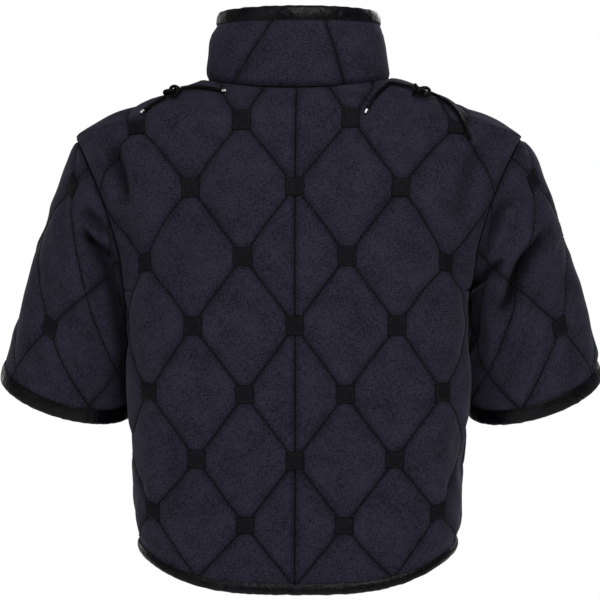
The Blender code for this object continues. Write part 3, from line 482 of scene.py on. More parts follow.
SEAM_TURNS = math.pi * (QS[I_TOP:I_BOTTOM + 1] - Q_TOP) / (Q_BOTTOM - Q_TOP)
for side, word in ((1, "left"), (-1, "right")):
    back = grids["back_" + word]["base"][I_TOP:I_BOTTOM + 1, -1]
    front = grids["front_" + word]["base"][I_TOP:I_BOTTOM + 1, -1]
    seam = np.concatenate([back, front[-2:0:-1]])
    turns = np.concatenate([SEAM_TURNS, 2 * math.pi - SEAM_TURNS[-2:0:-1]])
    run = np.linalg.norm(sleeve_points(side, seam, turns, 1.0)
                         - sleeve_points(side, seam, turns, 0.9), axis=1) / 0.1
    stop = 1 - BIND_CUFF / run
    t = np.concatenate([[0, 0.006, 0.013, 0.022], np.linspace(0.032, 1, 92)[:-1]])
    vs = [stop * k for k in t] + [1 - d / run for d in edge_steps(BIND_CUFF)[::-1]]
    base = np.array([sleeve_points(side, seam, turns, v) for v in vs])
    v = np.array([np.broadcast_to(x, turns.shape) for x in vs])
    (t0, v0), (t1, v1) = SLEEVE_PATCHES[side]
    ref = np.radians(t0 + (t1 - t0) * (v - v0) / (v1 - v0))
    qt = 2 * (v - v0) / (v1 - v0)
    full = np.concatenate([turns, [2 * math.pi + turns[0]]])
    turn = np.broadcast_to(turns, v.shape)
    turn_w = np.where(turn > math.radians(200), turn - 2 * math.pi, turn)
    pt = (turn_w - ref) / SLEEVE_HALF
    grids["sleeve_" + word] = dict(
        base=base, turns=turns, v=v, face="sleeve", side=side, ring=True,
        a=(pt + qt) / 2 + 8, b=(pt - qt) / 2 + 8, turn_w=turn_w,
        uv=np.stack([side * turn_w * 0.0745, -runs(base)[2]], -1))

fl, bl = grids["front_left"]["base"][0], grids["back_left"]["base"][0]
br, fr = grids["back_right"]["base"][0], grids["front_right"]["base"][0]
neck = np.concatenate([fl, bl[-2::-1], br[1:], fr[-2::-1]])
t = np.linspace(0, 1 - BIND_COLLAR / 0.09, 34)[:-1]
cv = np.concatenate([t, 1 - edge_steps(BIND_COLLAR)[::-1] / 0.09])
angle0 = np.arctan2(neck[:, 0] / 0.1065, (neck[:, 1] + 0.007) / 0.077)
rows = []
for v in cv:
    a = angle0 * (1 - 0.035 * v)
    top_z = through((0, 50, 100, 180), (COLLAR_Z_BACK, COLLAR_Z_BACK, COLLAR_Z_SIDE, COLLAR_Z_FRONT),
                    np.abs(np.degrees(a)))
    top = np.stack([COLLAR_WIDE * np.sin(a), COLLAR_Y + COLLAR_DEEP * np.cos(a), top_z], 1)
    w = 0.35 * v + 0.65 * v ** 2.2
    row = neck + (top - neck) * w
    row[:, 2] = neck[:, 2] + (top_z - neck[:, 2]) * v
    rows.append(row)
base = np.array(rows)
angle = np.degrees(np.broadcast_to(angle0, base.shape[:2]))
height = np.repeat(cv[:, None], base.shape[1], 1)
a = np.zeros(base.shape[:2])
for i, v in enumerate(cv):
    at = np.array([lo + (hi - lo) * v for lo, hi in COLLAR_LINES])
    a[i] = np.interp(angle[i], np.concatenate([[-230], at, [230]]), np.arange(len(at) + 2) + 4)
grids["collar"] = dict(base=base, face="collar", side=0, ring=False, a=a,
                       b=np.full(a.shape, 8.5), angle=angle, height=height,
                       uv=np.stack([np.radians(angle) * 0.098, height * 0.092], -1))

SEAMS = {"back": ("first", "last", "top"), "front": ("last", "top"), "sleeve": ("top",),
         "collar": ("top",)}
REACH = {"back": (None, None, None, BIND_HEM), "front": (BIND_HEM, None, None, BIND_HEM),
         "sleeve": (None, None, None, BIND_CUFF), "collar": (BIND_HEM, BIND_HEM, None, BIND_COLLAR)}

for g in grids.values():
    base = g["base"]
    if g["face"] == "sleeve":
        outward = base - base.mean(axis=1, keepdims=True)
    elif g["face"] == "collar":
        outward = base * np.array([1.0, 1.0, 0.0])
    else:
        outward = base * np.array([0.6, 1.0, 0.0])
    g["outward"] = outward
    g["own"] = grid_normals(base, outward, g["ring"])
    g["runs"] = runs(base)

# the pieces that meet at a seam share one direction there
kd_points, kd_normals = [], []
for g in grids.values():
    b, n = g["base"], g["own"]
    sets = [(b[0], n[0]), (b[-1], n[-1])]
    if not g["ring"]:
        sets += [(b[:, 0], n[:, 0]), (b[:, -1], n[:, -1])]
    for pts, nor in sets:
        kd_points.append(pts)
        kd_normals.append(nor)
kd_points, kd_normals = np.concatenate(kd_points), np.concatenate(kd_normals)
tree = KDTree(len(kd_points))
for i, p in enumerate(kd_points):
    tree.insert(p, i)
tree.balance()


def shared(points):
    out = []
    for p in points:
        near = [i for _c, i, _d in tree.find_range(p, 2e-6)]
        out.append(unit(kd_normals[near].sum(0)))
    return np.array(out)


def crown(d):
    """How far the quilting has risen at a distance from a stitch line, 0 to 1."""
    return 0.58 * (1 - np.exp(-(d / 0.0058) ** 1.15)) + 0.42 * np.sin(
        np.clip(d / (LINES_APART / 2), 0, 1) * math.pi / 2)


for number, (name, g) in enumerate(grids.items()):
    base, n, ring = g["base"], g["own"], g["ring"]
    first, last, top, bottom = g["runs"]
    edges = dict(first=(first, base[:, :1]), last=(last, base[:, -1:]), top=(top, base[:1]))
    seam_far = np.full(base.shape[:2], 1.0)
    for edge in SEAMS[g["face"]]:
        far, line = edges[edge]
        common = shared(line.reshape(-1, 3)).reshape(line.shape)
        w = np.exp(-(far / 0.0070) ** 2)[..., None]
        n = unit(n * (1 - w) + common * w)
        seam_far = np.minimum(seam_far, far)
    bound = np.full(base.shape[:2], 1.0)
    for far, reach in zip(g["runs"], REACH[g["face"]]):
        if reach:
            bound = np.minimum(bound, far - reach)
    # creases
    if g["face"] == "sleeve":
        sink = (crease_depth(base, "sleeve_back", g["own"][..., 1] > 0.0) * smooth(g["own"][..., 1] / 0.25)
                + crease_depth(base, "sleeve_front", g["own"][..., 1] < 0.0)
                * smooth(-g["own"][..., 1] / 0.25))
    elif g["face"] == "collar":
        sink = np.zeros(base.shape[:2])
    else:
        sink = crease_depth(base, g["face"], np.ones(base.shape[:2], bool))
    sink *= smooth(seam_far / 0.012) * smooth((bound + 0.004) / 0.016)
    # quilting
    fa = np.abs(g["a"] - np.round(g["a"])) / field_gradient(base, g["a"], ring)
    fb = np.full(base.shape[:2], 1.0)
    if g["face"] != "collar":
        fb = np.abs(g["b"] - np.round(g["b"])) / field_gradient(base, g["b"], ring)
    fa, fb = np.minimum(fa, 0.06), np.minimum(fb, 0.06)
    strength = {"collar": 0.55, "sleeve": 0.80}.get(g["face"], 1.0) * PUFF
    relief = crown(fa) * crown(fb) * strength
    if g["face"] != "collar":
        relief *= 1 - 0.8 * np.exp(-((fa ** 2 + fb ** 2) / 0.014 ** 2) ** 1.5)
    seam_fade = 1 - np.exp(-(seam_far / 0.0065) ** 1.4)
    bound_fade = smooth((bound + 0.001) / 0.014)
    relief *= seam_fade * bound_fade
    g["flat_relief"] = relief
    # small puckers along every stitch line, seam and binding
    ripple = np.zeros(base.shape[:2])
    uneven = wobble(base, 0.030, 100 + number)
    for far, along_line, seed in ((fa, g["b"] * LINE_STEP, 1), (fb, g["a"] * LINE_STEP, 2)):
        amp = np.exp(-far / 0.0085) * (0.6 + 0.5 * wobble(base, 0.05, seed + 10 * number))
        ripple += 0.00042 * amp * np.sin(2 * math.pi * along_line / 0.0135 + 2.2 * uneven)
    for edge, far, along_line in (("first", first, top), ("last", last, top), ("top", top, first)):
        if edge in SEAMS[g["face"]]:
            ripple += 0.00038 * np.exp(-((far - 0.005) / 0.006) ** 2) * np.sin(
                2 * math.pi * along_line / 0.017 + 2.0 * uneven)
    along_edge = first + 0.0 * top
    ripple += 0.00050 * np.exp(-((bound - 0.004) / 0.009) ** 2) * np.sin(
        2 * math.pi * along_edge / 0.019 + 2.2 * uneven)
    broad = 0.0015 * wobble(base, 0.120, 7 + number) + 0.00075 * wobble(base, 0.045, 70 + number)
    if g["face"] == "collar":
        broad *= 0.8
    loose = (ripple + broad) * seam_fade * bound_fade
    # the seams themselves: a narrow valley with a soft roll beside it
    groove = np.zeros(base.shape[:2])
    for edge, far in (("first", first), ("last", last), ("top", top)):
        if edge in SEAMS[g["face"]]:
            deep = 0.0012 if edge == "first" else 0.0020
            groove -= deep * np.exp(-(far / 0.0030) ** 1.6)
            groove += 0.00035 * np.exp(-((far - 0.0065) / 0.0030) ** 2)
    if g["face"] in ("back", "front"):      # the neck seam's allowance lies below it
        groove += 0.0021 * np.exp(-((top - 0.0058) / 0.0026) ** 2) * smooth(last / 0.02)
    groove *= smooth((bound + 0.006) / 0.006)
    shift = np.zeros_like(base)
    if "top" in SEAMS[g["face"]]:
        shift[0] += unit(base[1] - base[0]) * SEAM_GAP
    if g["face"] == "front":
        # the side seam is closed, so that no light shows through it
        shift[:, -1] -= unit(base[:, -2] - base[:, -1]) * SEAM_GAP
    if g["face"] == "back":
        shift[:, 0] += unit(base[:, 1] - base[:, 0]) * SEAM_GAP
    base = base + shift
    thick = WALL * (1 - 0.42 * np.exp(-(seam_far / 0.0045) ** 2))
    body = base - n * sink[..., None]
    g["normal0"] = n
    g["lay"] = body + n * (relief + broad * seam_fade * bound_fade)[..., None]
    g["outer"] = body + n * (relief + loose + groove)[..., None]
    g["inner"] = body - n * (thick - 0.35 * relief)[..., None]
    g["normal"] = grid_normals(g["outer"], g["outward"], ring)
    g["seam_far"], g["bound"] = seam_far, bound
    dark = np.full(base.shape[:2], 0.05)            # distance to the nearest seam, in metres, for the painted shade along it
    for edge, far in (("first", first), ("last", last), ("top", top)):
        if edge in SEAMS[g["face"]]:
            armhole_seam = edge == "last" or g["face"] == "sleeve"
            dark = np.minimum(dark, far * (0.72 if armhole_seam else 1.45 if edge == "first" else 1.15))
    # painted shade: how much the colour is darkened, in the creases and where a sleeve lies against the body
    shade = np.clip(sink / 0.011, 0, 1)
    if g["face"] in ("back", "sleeve"):
        near = touching(base, g["own"], -0.045 if g["face"] == "sleeve" else 0.0)
        shade = np.maximum(shade, near if g["face"] == "sleeve" else near ** 5)
    g["edge"] = np.stack([dark, shade], -1)


# ---------------------------------------------------------------- making meshes
def closed(parts):
    """Signed volume of quads given as corner arrays."""
    total = 0.0
    for c in parts:
        a, b, d, e = c[:, 0], c[:, 1], c[:, 2], c[:, 3]
        total += (np.cross(a, b) * d).sum() + (np.cross(a, d) * e).sum()
    return total / 6


def mesh_object(name, verts, faces, mats, uv=None, quilt=None, index=None, angle=55, edge=None):
    mesh = bpy.data.meshes.new(name)
    mesh.from_pydata(np.asarray(verts).tolist(), [], faces.tolist() if hasattr(faces, "tolist") else faces)
    for key, data in (("cloth", uv), ("quilt", quilt), ("edge", edge)):
        if data is not None:
            layer = mesh.uv_layers.new(name=key)
            layer.data.foreach_set("uv", np.asarray(data, np.float32).ravel())
    for m in mats:
        mesh.materials.append(m)
    if index is not None:
        mesh.polygons.foreach_set("material_index", np.asarray(index, np.int32))
    mesh.shade_smooth()
    mesh.set_sharp_from_angle(angle=math.radians(angle))
    mesh.update()
    obj = bpy.data.objects.new(name, mesh)
    bpy.context.collection.objects.link(obj)
    return obj


def wall(name, g, mats, angle=60):
    """A closed wall between a grid's outer and inner points, all quads."""
    outer, inner, ring = g["outer"], g["inner"], g["ring"]
    rows, cols = outer.shape[:2]
    uv, quilt, edge = g["uv"], np.stack([g["a"], g["b"]], -1), g["edge"]
    if ring:
        step_u = g["uv"][:, 1:2] - g["uv"][:, :1]
        uv = np.concatenate([uv, uv[:, -1:] + step_u], 1)
        quilt = np.concatenate([quilt, quilt[:, -1:] + quilt[:, 1:2] - quilt[:, :1]], 1)
        edge = np.concatenate([edge, edge[:, :1]], 1)
        # where the turn wraps at the back of the arm, the far column runs on
        jump = np.where(np.diff(g["turn_w"][0]) < -1)[0]
        wrap = int(jump[0]) if len(jump) else None
    last = cols if ring else cols - 1
    i, j = np.meshgrid(np.arange(rows - 1), np.arange(last), indexing="ij")
    i, j = i.ravel(), j.ravel()
    ci, cj = np.stack([i, i, i + 1, i + 1], 1), np.stack([j, j + 1, j + 1, j], 1)
    vi = ci * cols + cj % cols
    half = rows * cols
    f_uv, f_q = uv[ci, cj].copy(), quilt[ci, cj].copy()
    if ring and wrap is not None:
        on = j == wrap
        for arr, grid in ((f_uv, uv), (f_q, quilt)):
            step = grid[:, wrap] - grid[:, wrap - 1]
            for k in (1, 2):
                arr[on, k] = (grid[:, wrap] + step)[ci[on, k]]
    faces, uvs, qs, idx = [vi], [f_uv], [f_q], [np.zeros(len(vi), int)]
    es = [edge[ci, cj], np.full(f_q.shape, 0.05)]
    faces.append(half + vi[:, ::-1])
    uvs.append(f_uv[:, ::-1])
    qs.append(np.full(f_q.shape, 0.5))
    idx.append(np.ones(len(vi), int))
    edge_list = []
    k = np.arange(last)
    edge_list.append(((0 * k, k), (0 * k, k + 1)))
    edge_list.append(((0 * k + rows - 1, k + 1), (0 * k + rows - 1, k)))
    if not ring:
        k = np.arange(rows - 1)
        edge_list.append(((k + 1, 0 * k), (k, 0 * k)))
        edge_list.append(((k, 0 * k + cols - 1), (k + 1, 0 * k + cols - 1)))
    for (ai, aj), (bi, bj) in edge_list:
        a, b = ai * cols + aj % cols, bi * cols + bj % cols
        faces.append(np.stack([b, a, half + a, half + b], 1))
        ua, ub = uv[ai, aj], uv[bi, bj]
        uvs.append(np.stack([ub, ua, ua, ub], 1))
        qs.append(np.full((len(a), 4, 2), 0.5))
        es.append(np.zeros((len(a), 4, 2)))
        idx.append(np.zeros(len(a), int))
    faces, uvs, qs, idx, es = (np.concatenate(x) for x in (faces, uvs, qs, idx, es))
    verts = np.concatenate([outer.reshape(-1, 3), inner.reshape(-1, 3)])
    if closed([verts[faces]]) < 0:
        faces, uvs, qs, es = faces[:, ::-1], uvs[:, ::-1], qs[:, ::-1], es[:, ::-1]
    return mesh_object(name, verts, faces, mats, uvs, qs, idx, angle, es)


def strips(name, rings, mats, angle=50, ends=False, loop=False):
    """A closed skin over rings of points, (stations, points, 3)."""
    rings = np.asarray(rings)
    count, m = rings.shape[:2]
    last = count if loop else count - 1
    i, j = np.meshgrid(np.arange(last), np.arange(m), indexing="ij")
    i, j = i.ravel(), j.ravel()
    i2, j2 = (i + 1) % count, (j + 1) % m
    faces = np.stack([i * m + j, i * m + j2, i2 * m + j2, i2 * m + j], 1)
    verts = rings.reshape(-1, 3)
    around = np.concatenate([[0], np.cumsum(np.linalg.norm(np.diff(rings.mean(1), axis=0), axis=1))])
    girth = np.concatenate([[0], np.cumsum(np.linalg.norm(np.diff(rings[0], axis=0), axis=1))])
    step = around[1] - around[0]
    u = np.stack([around[i], around[i], around[i] + step, around[i] + step], 1)
    g2 = girth[np.minimum(j + 1, m - 1)]
    w = np.stack([girth[j], g2, g2, girth[j]], 1)
    uv = np.stack([u, w], -1)
    flip = closed([verts[faces]]) < 0
    if flip:
        faces, uv = faces[:, ::-1], uv[:, ::-1]
    faces, uv = faces.tolist(), uv.reshape(-1, 2)
    if not loop:
        a, b = list(range(m)), [(count - 1) * m + k for k in range(m)][::-1]
        if not flip:
            a, b = a[::-1], b[::-1]
        faces += [a, b]
        uv = np.concatenate([uv, np.zeros((2 * m, 2))])
    obj = mesh_object(name, verts, faces, mats, uv, None, None, angle)
    return obj


# -------------------------------------------------------------------- materials
def new_material(name):
    mat = bpy.data.materials.new(name)
    mat.use_nodes = True
    nt = mat.node_tree
    return mat, nt, nt.nodes["Principled BSDF"]


def node(nt, kind, **values):
    n = nt.nodes.new(kind)
    for key, value in values.items():
        setattr(n, key, value)
    return n


def math_node(nt, op, a, b=None, c=None, clamp=False):
    n = node(nt, "ShaderNodeMath", operation=op)
    n.use_clamp = clamp
    for k, v in enumerate((a, b, c)):
        if v is None:
            continue
        if isinstance(v, (int, float)):
            n.inputs[k].default_value = v
        else:
            nt.links.new(v, n.inputs[k])
    return n.outputs[0]


def uv_of(nt, name):
    return node(nt, "ShaderNodeUVMap", uv_map=name).outputs["UV"]


def scaled(nt, vec, x, y, z=1.0):
    n = node(nt, "ShaderNodeMapping")
    n.inputs["Scale"].default_value = (x, y, z)
    nt.links.new(vec, n.inputs["Vector"])
    return n.outputs["Vector"]


def noise(nt, vec, scale=1.0, detail=2.0, rough=0.5, out="Fac"):
    n = node(nt, "ShaderNodeTexNoise")
    n.inputs["Scale"].default_value = scale
    n.inputs["Detail"].default_value = detail
    n.inputs["Roughness"].default_value = rough
    nt.links.new(vec, n.inputs["Vector"])
    return n.outputs[out]


def ramp(nt, fac, *stops):
    n = node(nt, "ShaderNodeValToRGB")
    while len(n.color_ramp.elements) < len(stops):
        n.color_ramp.elements.new(0.5)
    for e, (at, colour) in zip(n.color_ramp.elements, stops):
        e.position, e.color = at, (*colour, 1.0)
    nt.links.new(fac, n.inputs["Fac"])
    return n.outputs["Color"]


def mix(nt, fac, a, b, blend="MIX"):
    n = node(nt, "ShaderNodeMix", data_type="RGBA", blend_type=blend)
    for key, v in ((0, fac), (6, a), (7, b)):
        if isinstance(v, (int, float)):
            n.inputs[key].default_value = v
        elif isinstance(v, tuple):
            n.inputs[key].default_value = (*v, 1.0)
        else:
            nt.links.new(v, n.inputs[key])
    return n.outputs[2]


def span(nt, value, lo, hi, a=0.0, b=1.0):
    n = node(nt, "ShaderNodeMapRange", interpolation_type="SMOOTHSTEP")
    n.inputs["From Min"].default_value, n.inputs["From Max"].default_value = lo, hi
    n.inputs["To Min"].default_value, n.inputs["To Max"].default_value = a, b
    nt.links.new(value, n.inputs["Value"])
    return n.outputs["Result"]


def bump(nt, height, strength, distance, below=None):
    n = node(nt, "ShaderNodeBump")
    n.inputs["Strength"].default_value = strength
    n.inputs["Distance"].default_value = distance
    nt.links.new(height, n.inputs["Height"])
    if below is not None:
        nt.links.new(below, n.inputs["Normal"])
    return n.outputs["Normal"]


def weave(nt, vec, pitch):
    """Height of a plain weave of the given thread pitch, 0 to 1."""
    s = node(nt, "ShaderNodeSeparateXYZ")
    nt.links.new(vec, s.inputs[0])
    k = math.pi / pitch
    x = math_node(nt, "SINE", math_node(nt, "MULTIPLY", s.outputs[0], k))
    y = math_node(nt, "SINE", math_node(nt, "MULTIPLY", s.outputs[1], k))
    return math_node(nt, "MULTIPLY_ADD", math_node(nt, "MULTIPLY", x, y), 0.5, 0.5)


def cloth(name, dark, light, pitch, grain, quilted=True, sheen=0.07, mottle=1.25, gloss=0.12,
          rough=(0.86, 0.97)):
    mat, nt, bsdf = new_material(name)
    uv = uv_of(nt, "cloth")
    fleck = noise(nt, uv, grain, 3.0, 0.62)
    warp = noise(nt, scaled(nt, uv, 780.0, 150.0), 1.0, 2.0, 0.5)
    weft = noise(nt, scaled(nt, uv, 150.0, 780.0), 1.0, 2.0, 0.5)
    cloud = noise(nt, uv, 34.0, 3.0, 0.6)
    threads = math_node(nt, "MULTIPLY_ADD", math_node(nt, "ADD", warp, weft), 0.30, 0.0)
    tone = math_node(nt, "ADD", math_node(nt, "MULTIPLY", fleck, 0.55), threads)
    tone = math_node(nt, "ADD", tone, math_node(nt, "MULTIPLY_ADD", cloud, 0.20 * mottle, -0.10 * mottle))
    mid = tuple((d + l) / 2 for d, l in zip(dark, light))
    colour = ramp(nt, tone, (0.45, dark), (0.555, mid), (0.67, light))
    w = weave(nt, uv, pitch)
    colour = mix(nt, math_node(nt, "MULTIPLY_ADD", w, -0.30, 0.30), colour, dark)
    normal = bump(nt, math_node(nt, "ADD", math_node(nt, "MULTIPLY", w, 0.6), fleck), 0.42, 0.0007)
    if quilted:
        s = node(nt, "ShaderNodeSeparateXYZ")
        nt.links.new(uv_of(nt, "quilt"), s.inputs[0])
        marks, valleys, pulls = [], [], []
        for k in (0, 1):
            near = math_node(nt, "MULTIPLY", math_node(nt, "PINGPONG", s.outputs[k], 0.5), LINES_APART)
            marks.append(span(nt, near, 0.0024, 0.0007))
            valleys.append(span(nt, near, 0.0110, 0.0010))
            # each stitch draws the cloth in beside it: a bump, and painted shade in the dimples
            beat = math_node(nt, "SINE", math_node(nt, "MULTIPLY", s.outputs[1 - k],
                                                   2 * math.pi * LINE_STEP / 0.0052))
            pulls.append(math_node(nt, "MULTIPLY", span(nt, near, 0.0058, 0.0016), beat))
        line = math_node(nt, "MAXIMUM", *marks)
        valley = math_node(nt, "MAXIMUM", *valleys)
        pull = math_node(nt, "ADD", *pulls)
        # painted shade: the colour is darkened in the quilting's valleys, in a near-black line along each stitch
        # line's groove, and in the puckers beside the stitches
        colour = mix(nt, math_node(nt, "MULTIPLY", valley, 0.30), colour, (0.0032, 0.0029, 0.0044))
        colour = mix(nt, math_node(nt, "MULTIPLY", line, 0.54), colour, (0.0014, 0.0013, 0.0019))
        colour = mix(nt, math_node(nt, "MULTIPLY_ADD", pull, 0.16, 0.16, clamp=True), colour,
                     (0.0024, 0.0022, 0.0032))
        e = node(nt, "ShaderNodeSeparateXYZ")
        nt.links.new(uv_of(nt, "edge"), e.inputs[0])
        # painted shade along the seams: a soft dark band beside each seam and a near-black line in its groove
        colour = mix(nt, span(nt, e.outputs[0], 0.0110, 0.0005, 0.0, 0.34), colour, (0.0026, 0.0024, 0.0036))
        colour = mix(nt, span(nt, e.outputs[0], 0.0019, 0.0008, 0.0, 0.90), colour, (0.0006, 0.0006, 0.0009))
        # painted shade in the creases and where a sleeve lies against the body
        colour = mix(nt, math_node(nt, "MULTIPLY", e.outputs[1], 0.84), colour, (0.0012, 0.0011, 0.0018))
        normal = bump(nt, math_node(nt, "MULTIPLY_ADD", line, -1.0, math_node(nt, "MULTIPLY", pull, 0.55)),
                      0.8, 0.0011, normal)
    nt.links.new(colour, bsdf.inputs["Base Color"])
    nt.links.new(normal, bsdf.inputs["Normal"])
    nt.links.new(span(nt, fleck, 0.3, 0.75, *rough), bsdf.inputs["Roughness"])
    bsdf.inputs["Specular IOR Level"].default_value = gloss
    bsdf.inputs["Sheen Weight"].default_value = sheen
    bsdf.inputs["Sheen Roughness"].default_value = 0.45
    bsdf.inputs["Sheen Tint"].default_value = (0.62, 0.62, 0.78, 1.0)
    return mat


def hide(name, colour, rough=(0.20, 0.46), grain=820.0):
    """Smooth black leather with fine grain, shallow wrinkles and rubbed places."""
    mat, nt, bsdf = new_material(name)
    obj = node(nt, "ShaderNodeTexCoord").outputs["Object"]
    cells = node(nt, "ShaderNodeTexVoronoi", feature="DISTANCE_TO_EDGE")
    cells.inputs["Scale"].default_value = grain
    nt.links.new(obj, cells.inputs["Vector"])
    pores = span(nt, cells.outputs["Distance"], 0.0, 0.22)
    wrinkle = noise(nt, obj, 150.0, 4.0, 0.6)
    rubbed = noise(nt, obj, 42.0, 3.0, 0.6)
    light = tuple(min(1.0, c * 2.6 + 0.004) for c in colour)
    nt.links.new(mix(nt, span(nt, rubbed, 0.52, 0.80), colour, light), bsdf.inputs["Base Color"])
    nt.links.new(span(nt, rubbed, 0.30, 0.75, *rough), bsdf.inputs["Roughness"])
    normal = bump(nt, pores, 0.22, 0.00012)
    nt.links.new(bump(nt, wrinkle, 0.75, 0.0016, normal), bsdf.inputs["Normal"])
    bsdf.inputs["Specular IOR Level"].default_value = 0.13
    bsdf.inputs["Coat Weight"].default_value = 0.0
    bsdf.inputs["Coat Roughness"].default_value = 0.25
    return mat


def plain(name, colour, rough, grain=900.0, depth=0.0002, strength=0.4, metal=0.0, spread=0.12,
          gloss=0.5):
    mat, nt, bsdf = new_material(name)
    obj = node(nt, "ShaderNodeTexCoord").outputs["Object"]
    n = noise(nt, obj, grain, 3.0, 0.6)
    light = tuple(min(1.0, c * 1.5) for c in colour)
    nt.links.new(mix(nt, span(nt, n, 0.35, 0.7), colour, light), bsdf.inputs["Base Color"])
    nt.links.new(span(nt, n, 0.3, 0.7, rough - spread, rough + spread), bsdf.inputs["Roughness"])
    nt.links.new(bump(nt, n, strength, depth), bsdf.inputs["Normal"])
    bsdf.inputs["Metallic"].default_value = metal
    bsdf.inputs["Specular IOR Level"].default_value = gloss
    return mat


WOOL = cloth("wool", (0.0062, 0.0054, 0.0114), (0.0412, 0.0373, 0.0634), 0.0018, 440.0)
LINING = cloth("lining", (0.0050, 0.0048, 0.0062), (0.0140, 0.0135, 0.0170), 0.0011, 500.0,
               quilted=False, sheen=0.05, mottle=0.5)
PATCH = cloth("patch_cloth", (0.0015, 0.0014, 0.0023), (0.0060, 0.0056, 0.0092), 0.0010, 700.0,
              quilted=False, sheen=0.02, mottle=0.4, gloss=0.10, rough=(0.60, 0.74))
LEATHER = hide("leather", (0.0020, 0.0019, 0.0028))
BUTTON = hide("button_leather", (0.0050, 0.0045, 0.0055), (0.22, 0.40))
WAXED = plain("waxed_lace", (0.0011, 0.0011, 0.0016), 0.50, 1500.0, 0.0003, 0.5, gloss=0.10)
THREAD = plain("thread", (0.0032, 0.0030, 0.0043), 0.70, 2600.0, 0.0001, 0.3, gloss=0.06)
PATCH_THREAD = plain("patch_thread", (0.0150, 0.0142, 0.0190), 0.60, 2600.0, 0.0001, 0.3, gloss=0.15)
LOOP = plain("loop_cord", (0.0045, 0.0045, 0.0058), 0.55, 1500.0, 0.0003, 0.5)
METAL = plain("lace_tip", (0.62, 0.62, 0.64), 0.30, 1200.0, 0.00005, 0.2, 1.0, 0.08)

# ------------------------------------------------------------- the cloth's panels
pieces = {}
for name, g in grids.items():
    pieces[name] = wall("cloth_" + name, g, [WOOL, LINING])
    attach(pieces[name], "root")
    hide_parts(name)


# ---------------------------------------------- finding a place on a panel's skin
def bilinear(g, key, i, j):
    """A grid's values at fractional rows and columns."""
    grid = g[key]
    rows, cols = grid.shape[:2]
    i, j = np.clip(i, 0, rows - 1.0001), np.asarray(j, float)
    if not g["ring"]:
        j = np.clip(j, 0, cols - 1.0001)
    i0, j0 = np.floor(i).astype(int), np.floor(j).astype(int)
    fi, fj = i - i0, j - j0
    if grid.ndim == 3:
        fi, fj = fi[..., None], fj[..., None]
    j1 = j0 + 1
    if g["ring"]:
        j0, j1 = j0 % cols, j1 % cols
    return (grid[i0, j0] * (1 - fi) * (1 - fj) + grid[i0, j1] * (1 - fi) * fj
            + grid[i0 + 1, j0] * fi * (1 - fj) + grid[i0 + 1, j1] * fi * fj)


def body_ij(g, q, p):
    q, p = np.asarray(q, float), np.asarray(p, float)
    i = np.interp(q, QS, np.arange(len(QS)))
    arc = p * half_diamond(q)
    shape = i.shape
    j = []
    for r, x in zip(i.ravel(), arc.ravel()):
        k = min(int(r), len(QS) - 2)
        f = r - k
        row = g["arcs"][k] * (1 - f) + g["arcs"][k + 1] * f
        j.append(np.interp(x, row, np.arange(len(row))))
    return i, np.array(j).reshape(shape)


def sleeve_ij(g, turn, v):
    turn, v = np.asarray(turn, float), np.asarray(v, float)
    turns = g["turns"]
    ext = np.concatenate([turns - 2 * math.pi, turns, turns + 2 * math.pi])
    j = np.interp(turn, ext, np.arange(len(ext)) - len(turns))
    i = []
    for t, x in zip(j.ravel(), v.ravel()):
        col = g["v"][:, int(round(t)) % len(turns)]
        i.append(np.interp(x, col, np.arange(len(col))))
    return np.array(i).reshape(v.shape), j


def collar_ij(g, angle, v):
    angle, v = np.asarray(angle, float), np.asarray(v, float)
    row = g["angle"][0]
    order = np.argsort(row)
    j = np.interp(angle, row[order], order)
    return np.interp(v, g["height"][:, 0], np.arange(len(g["height"]))), j


# -------------------------------------------------------------------- stitching
class Sewing:
    """Gathers single stitches, each a small closed spindle lying on the cloth."""

    def __init__(self):
        self.verts, self.faces = [], []
        self.count = 0

    def add(self, a, b, n, width, height, lift=0.0001):
        """One stitch from a to b, on a skin with normal n."""
        way = b - a
        side = unit(np.cross(n, way))
        base = self.count * 14
        self.count += 1
        ring = []
        for t, k in ((0.10, 0.62), (0.5, 1.0), (0.90, 0.62)):
            c = a + way * t + n * (lift + height * (0.15 if t != 0.5 else 0.35))
            ring += [c + side * width * k / 2, c + n * height * k * 0.62, c - side * width * k / 2,
                     c - n * height * k * 0.62]
        self.verts += [a - n * height * 0.4] + ring + [b - n * height * 0.4]
        f = []
        for k in range(4):
            m = (k + 1) % 4
            f.append((base, base + 1 + k, base + 1 + m))
            f.append((base + 13, base + 9 + m, base + 9 + k))
            for r in (0, 4):
                f.append((base + 1 + r + k, base + 5 + r + k, base + 5 + r + m, base + 1 + r + m))
        self.faces += f

    def line(self, pts, nor, pitch=0.0046, length=0.0034, width=0.0010, height=0.0007, keep=None):
        """Stitches along a dense line of points."""
        d = np.concatenate([[0], np.cumsum(np.linalg.norm(np.diff(pts, axis=0), axis=1))])
        k = int((d[-1] - length) / pitch)
        for m in range(max(k, 0) + 1):
            s0 = m * pitch + 0.5 * (d[-1] - length - max(k, 0) * pitch)
            at = [s0, s0 + length]
            if at[1] > d[-1] + 1e-6 or at[0] < -1e-6:
                continue
            a, b = (np.array([np.interp(t, d, pts[:, i]) for i in range(3)]) for t in at)
            n = unit([np.interp(s0 + length / 2, d, nor[:, i]) for i in range(3)])
            if keep is not None and np.interp(s0 + length / 2, d, keep) < 0.5:
                continue
            self.add(a, b, n, width, height)

    def build(self, name, slot="loop_cord", mat=None):
        verts = np.array(self.verts)
        obj = mesh_object(name, verts, self.faces, [mat or THREAD], angle=80)
        mesh = obj.data
        import bmesh
        bm = bmesh.new()
        bm.from_mesh(mesh)
        bmesh.ops.recalc_face_normals(bm, faces=bm.faces)
        bm.to_mesh(mesh)
        bm.free()
        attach(obj, "root")
        return obj


def split_runs(mask):
    idx = np.where(mask)[0]
    if not len(idx):
        return []
    cuts = np.where(np.diff(idx) > 1)[0] + 1
    return [r for r in np.split(idx, cuts) if len(r) > 6]


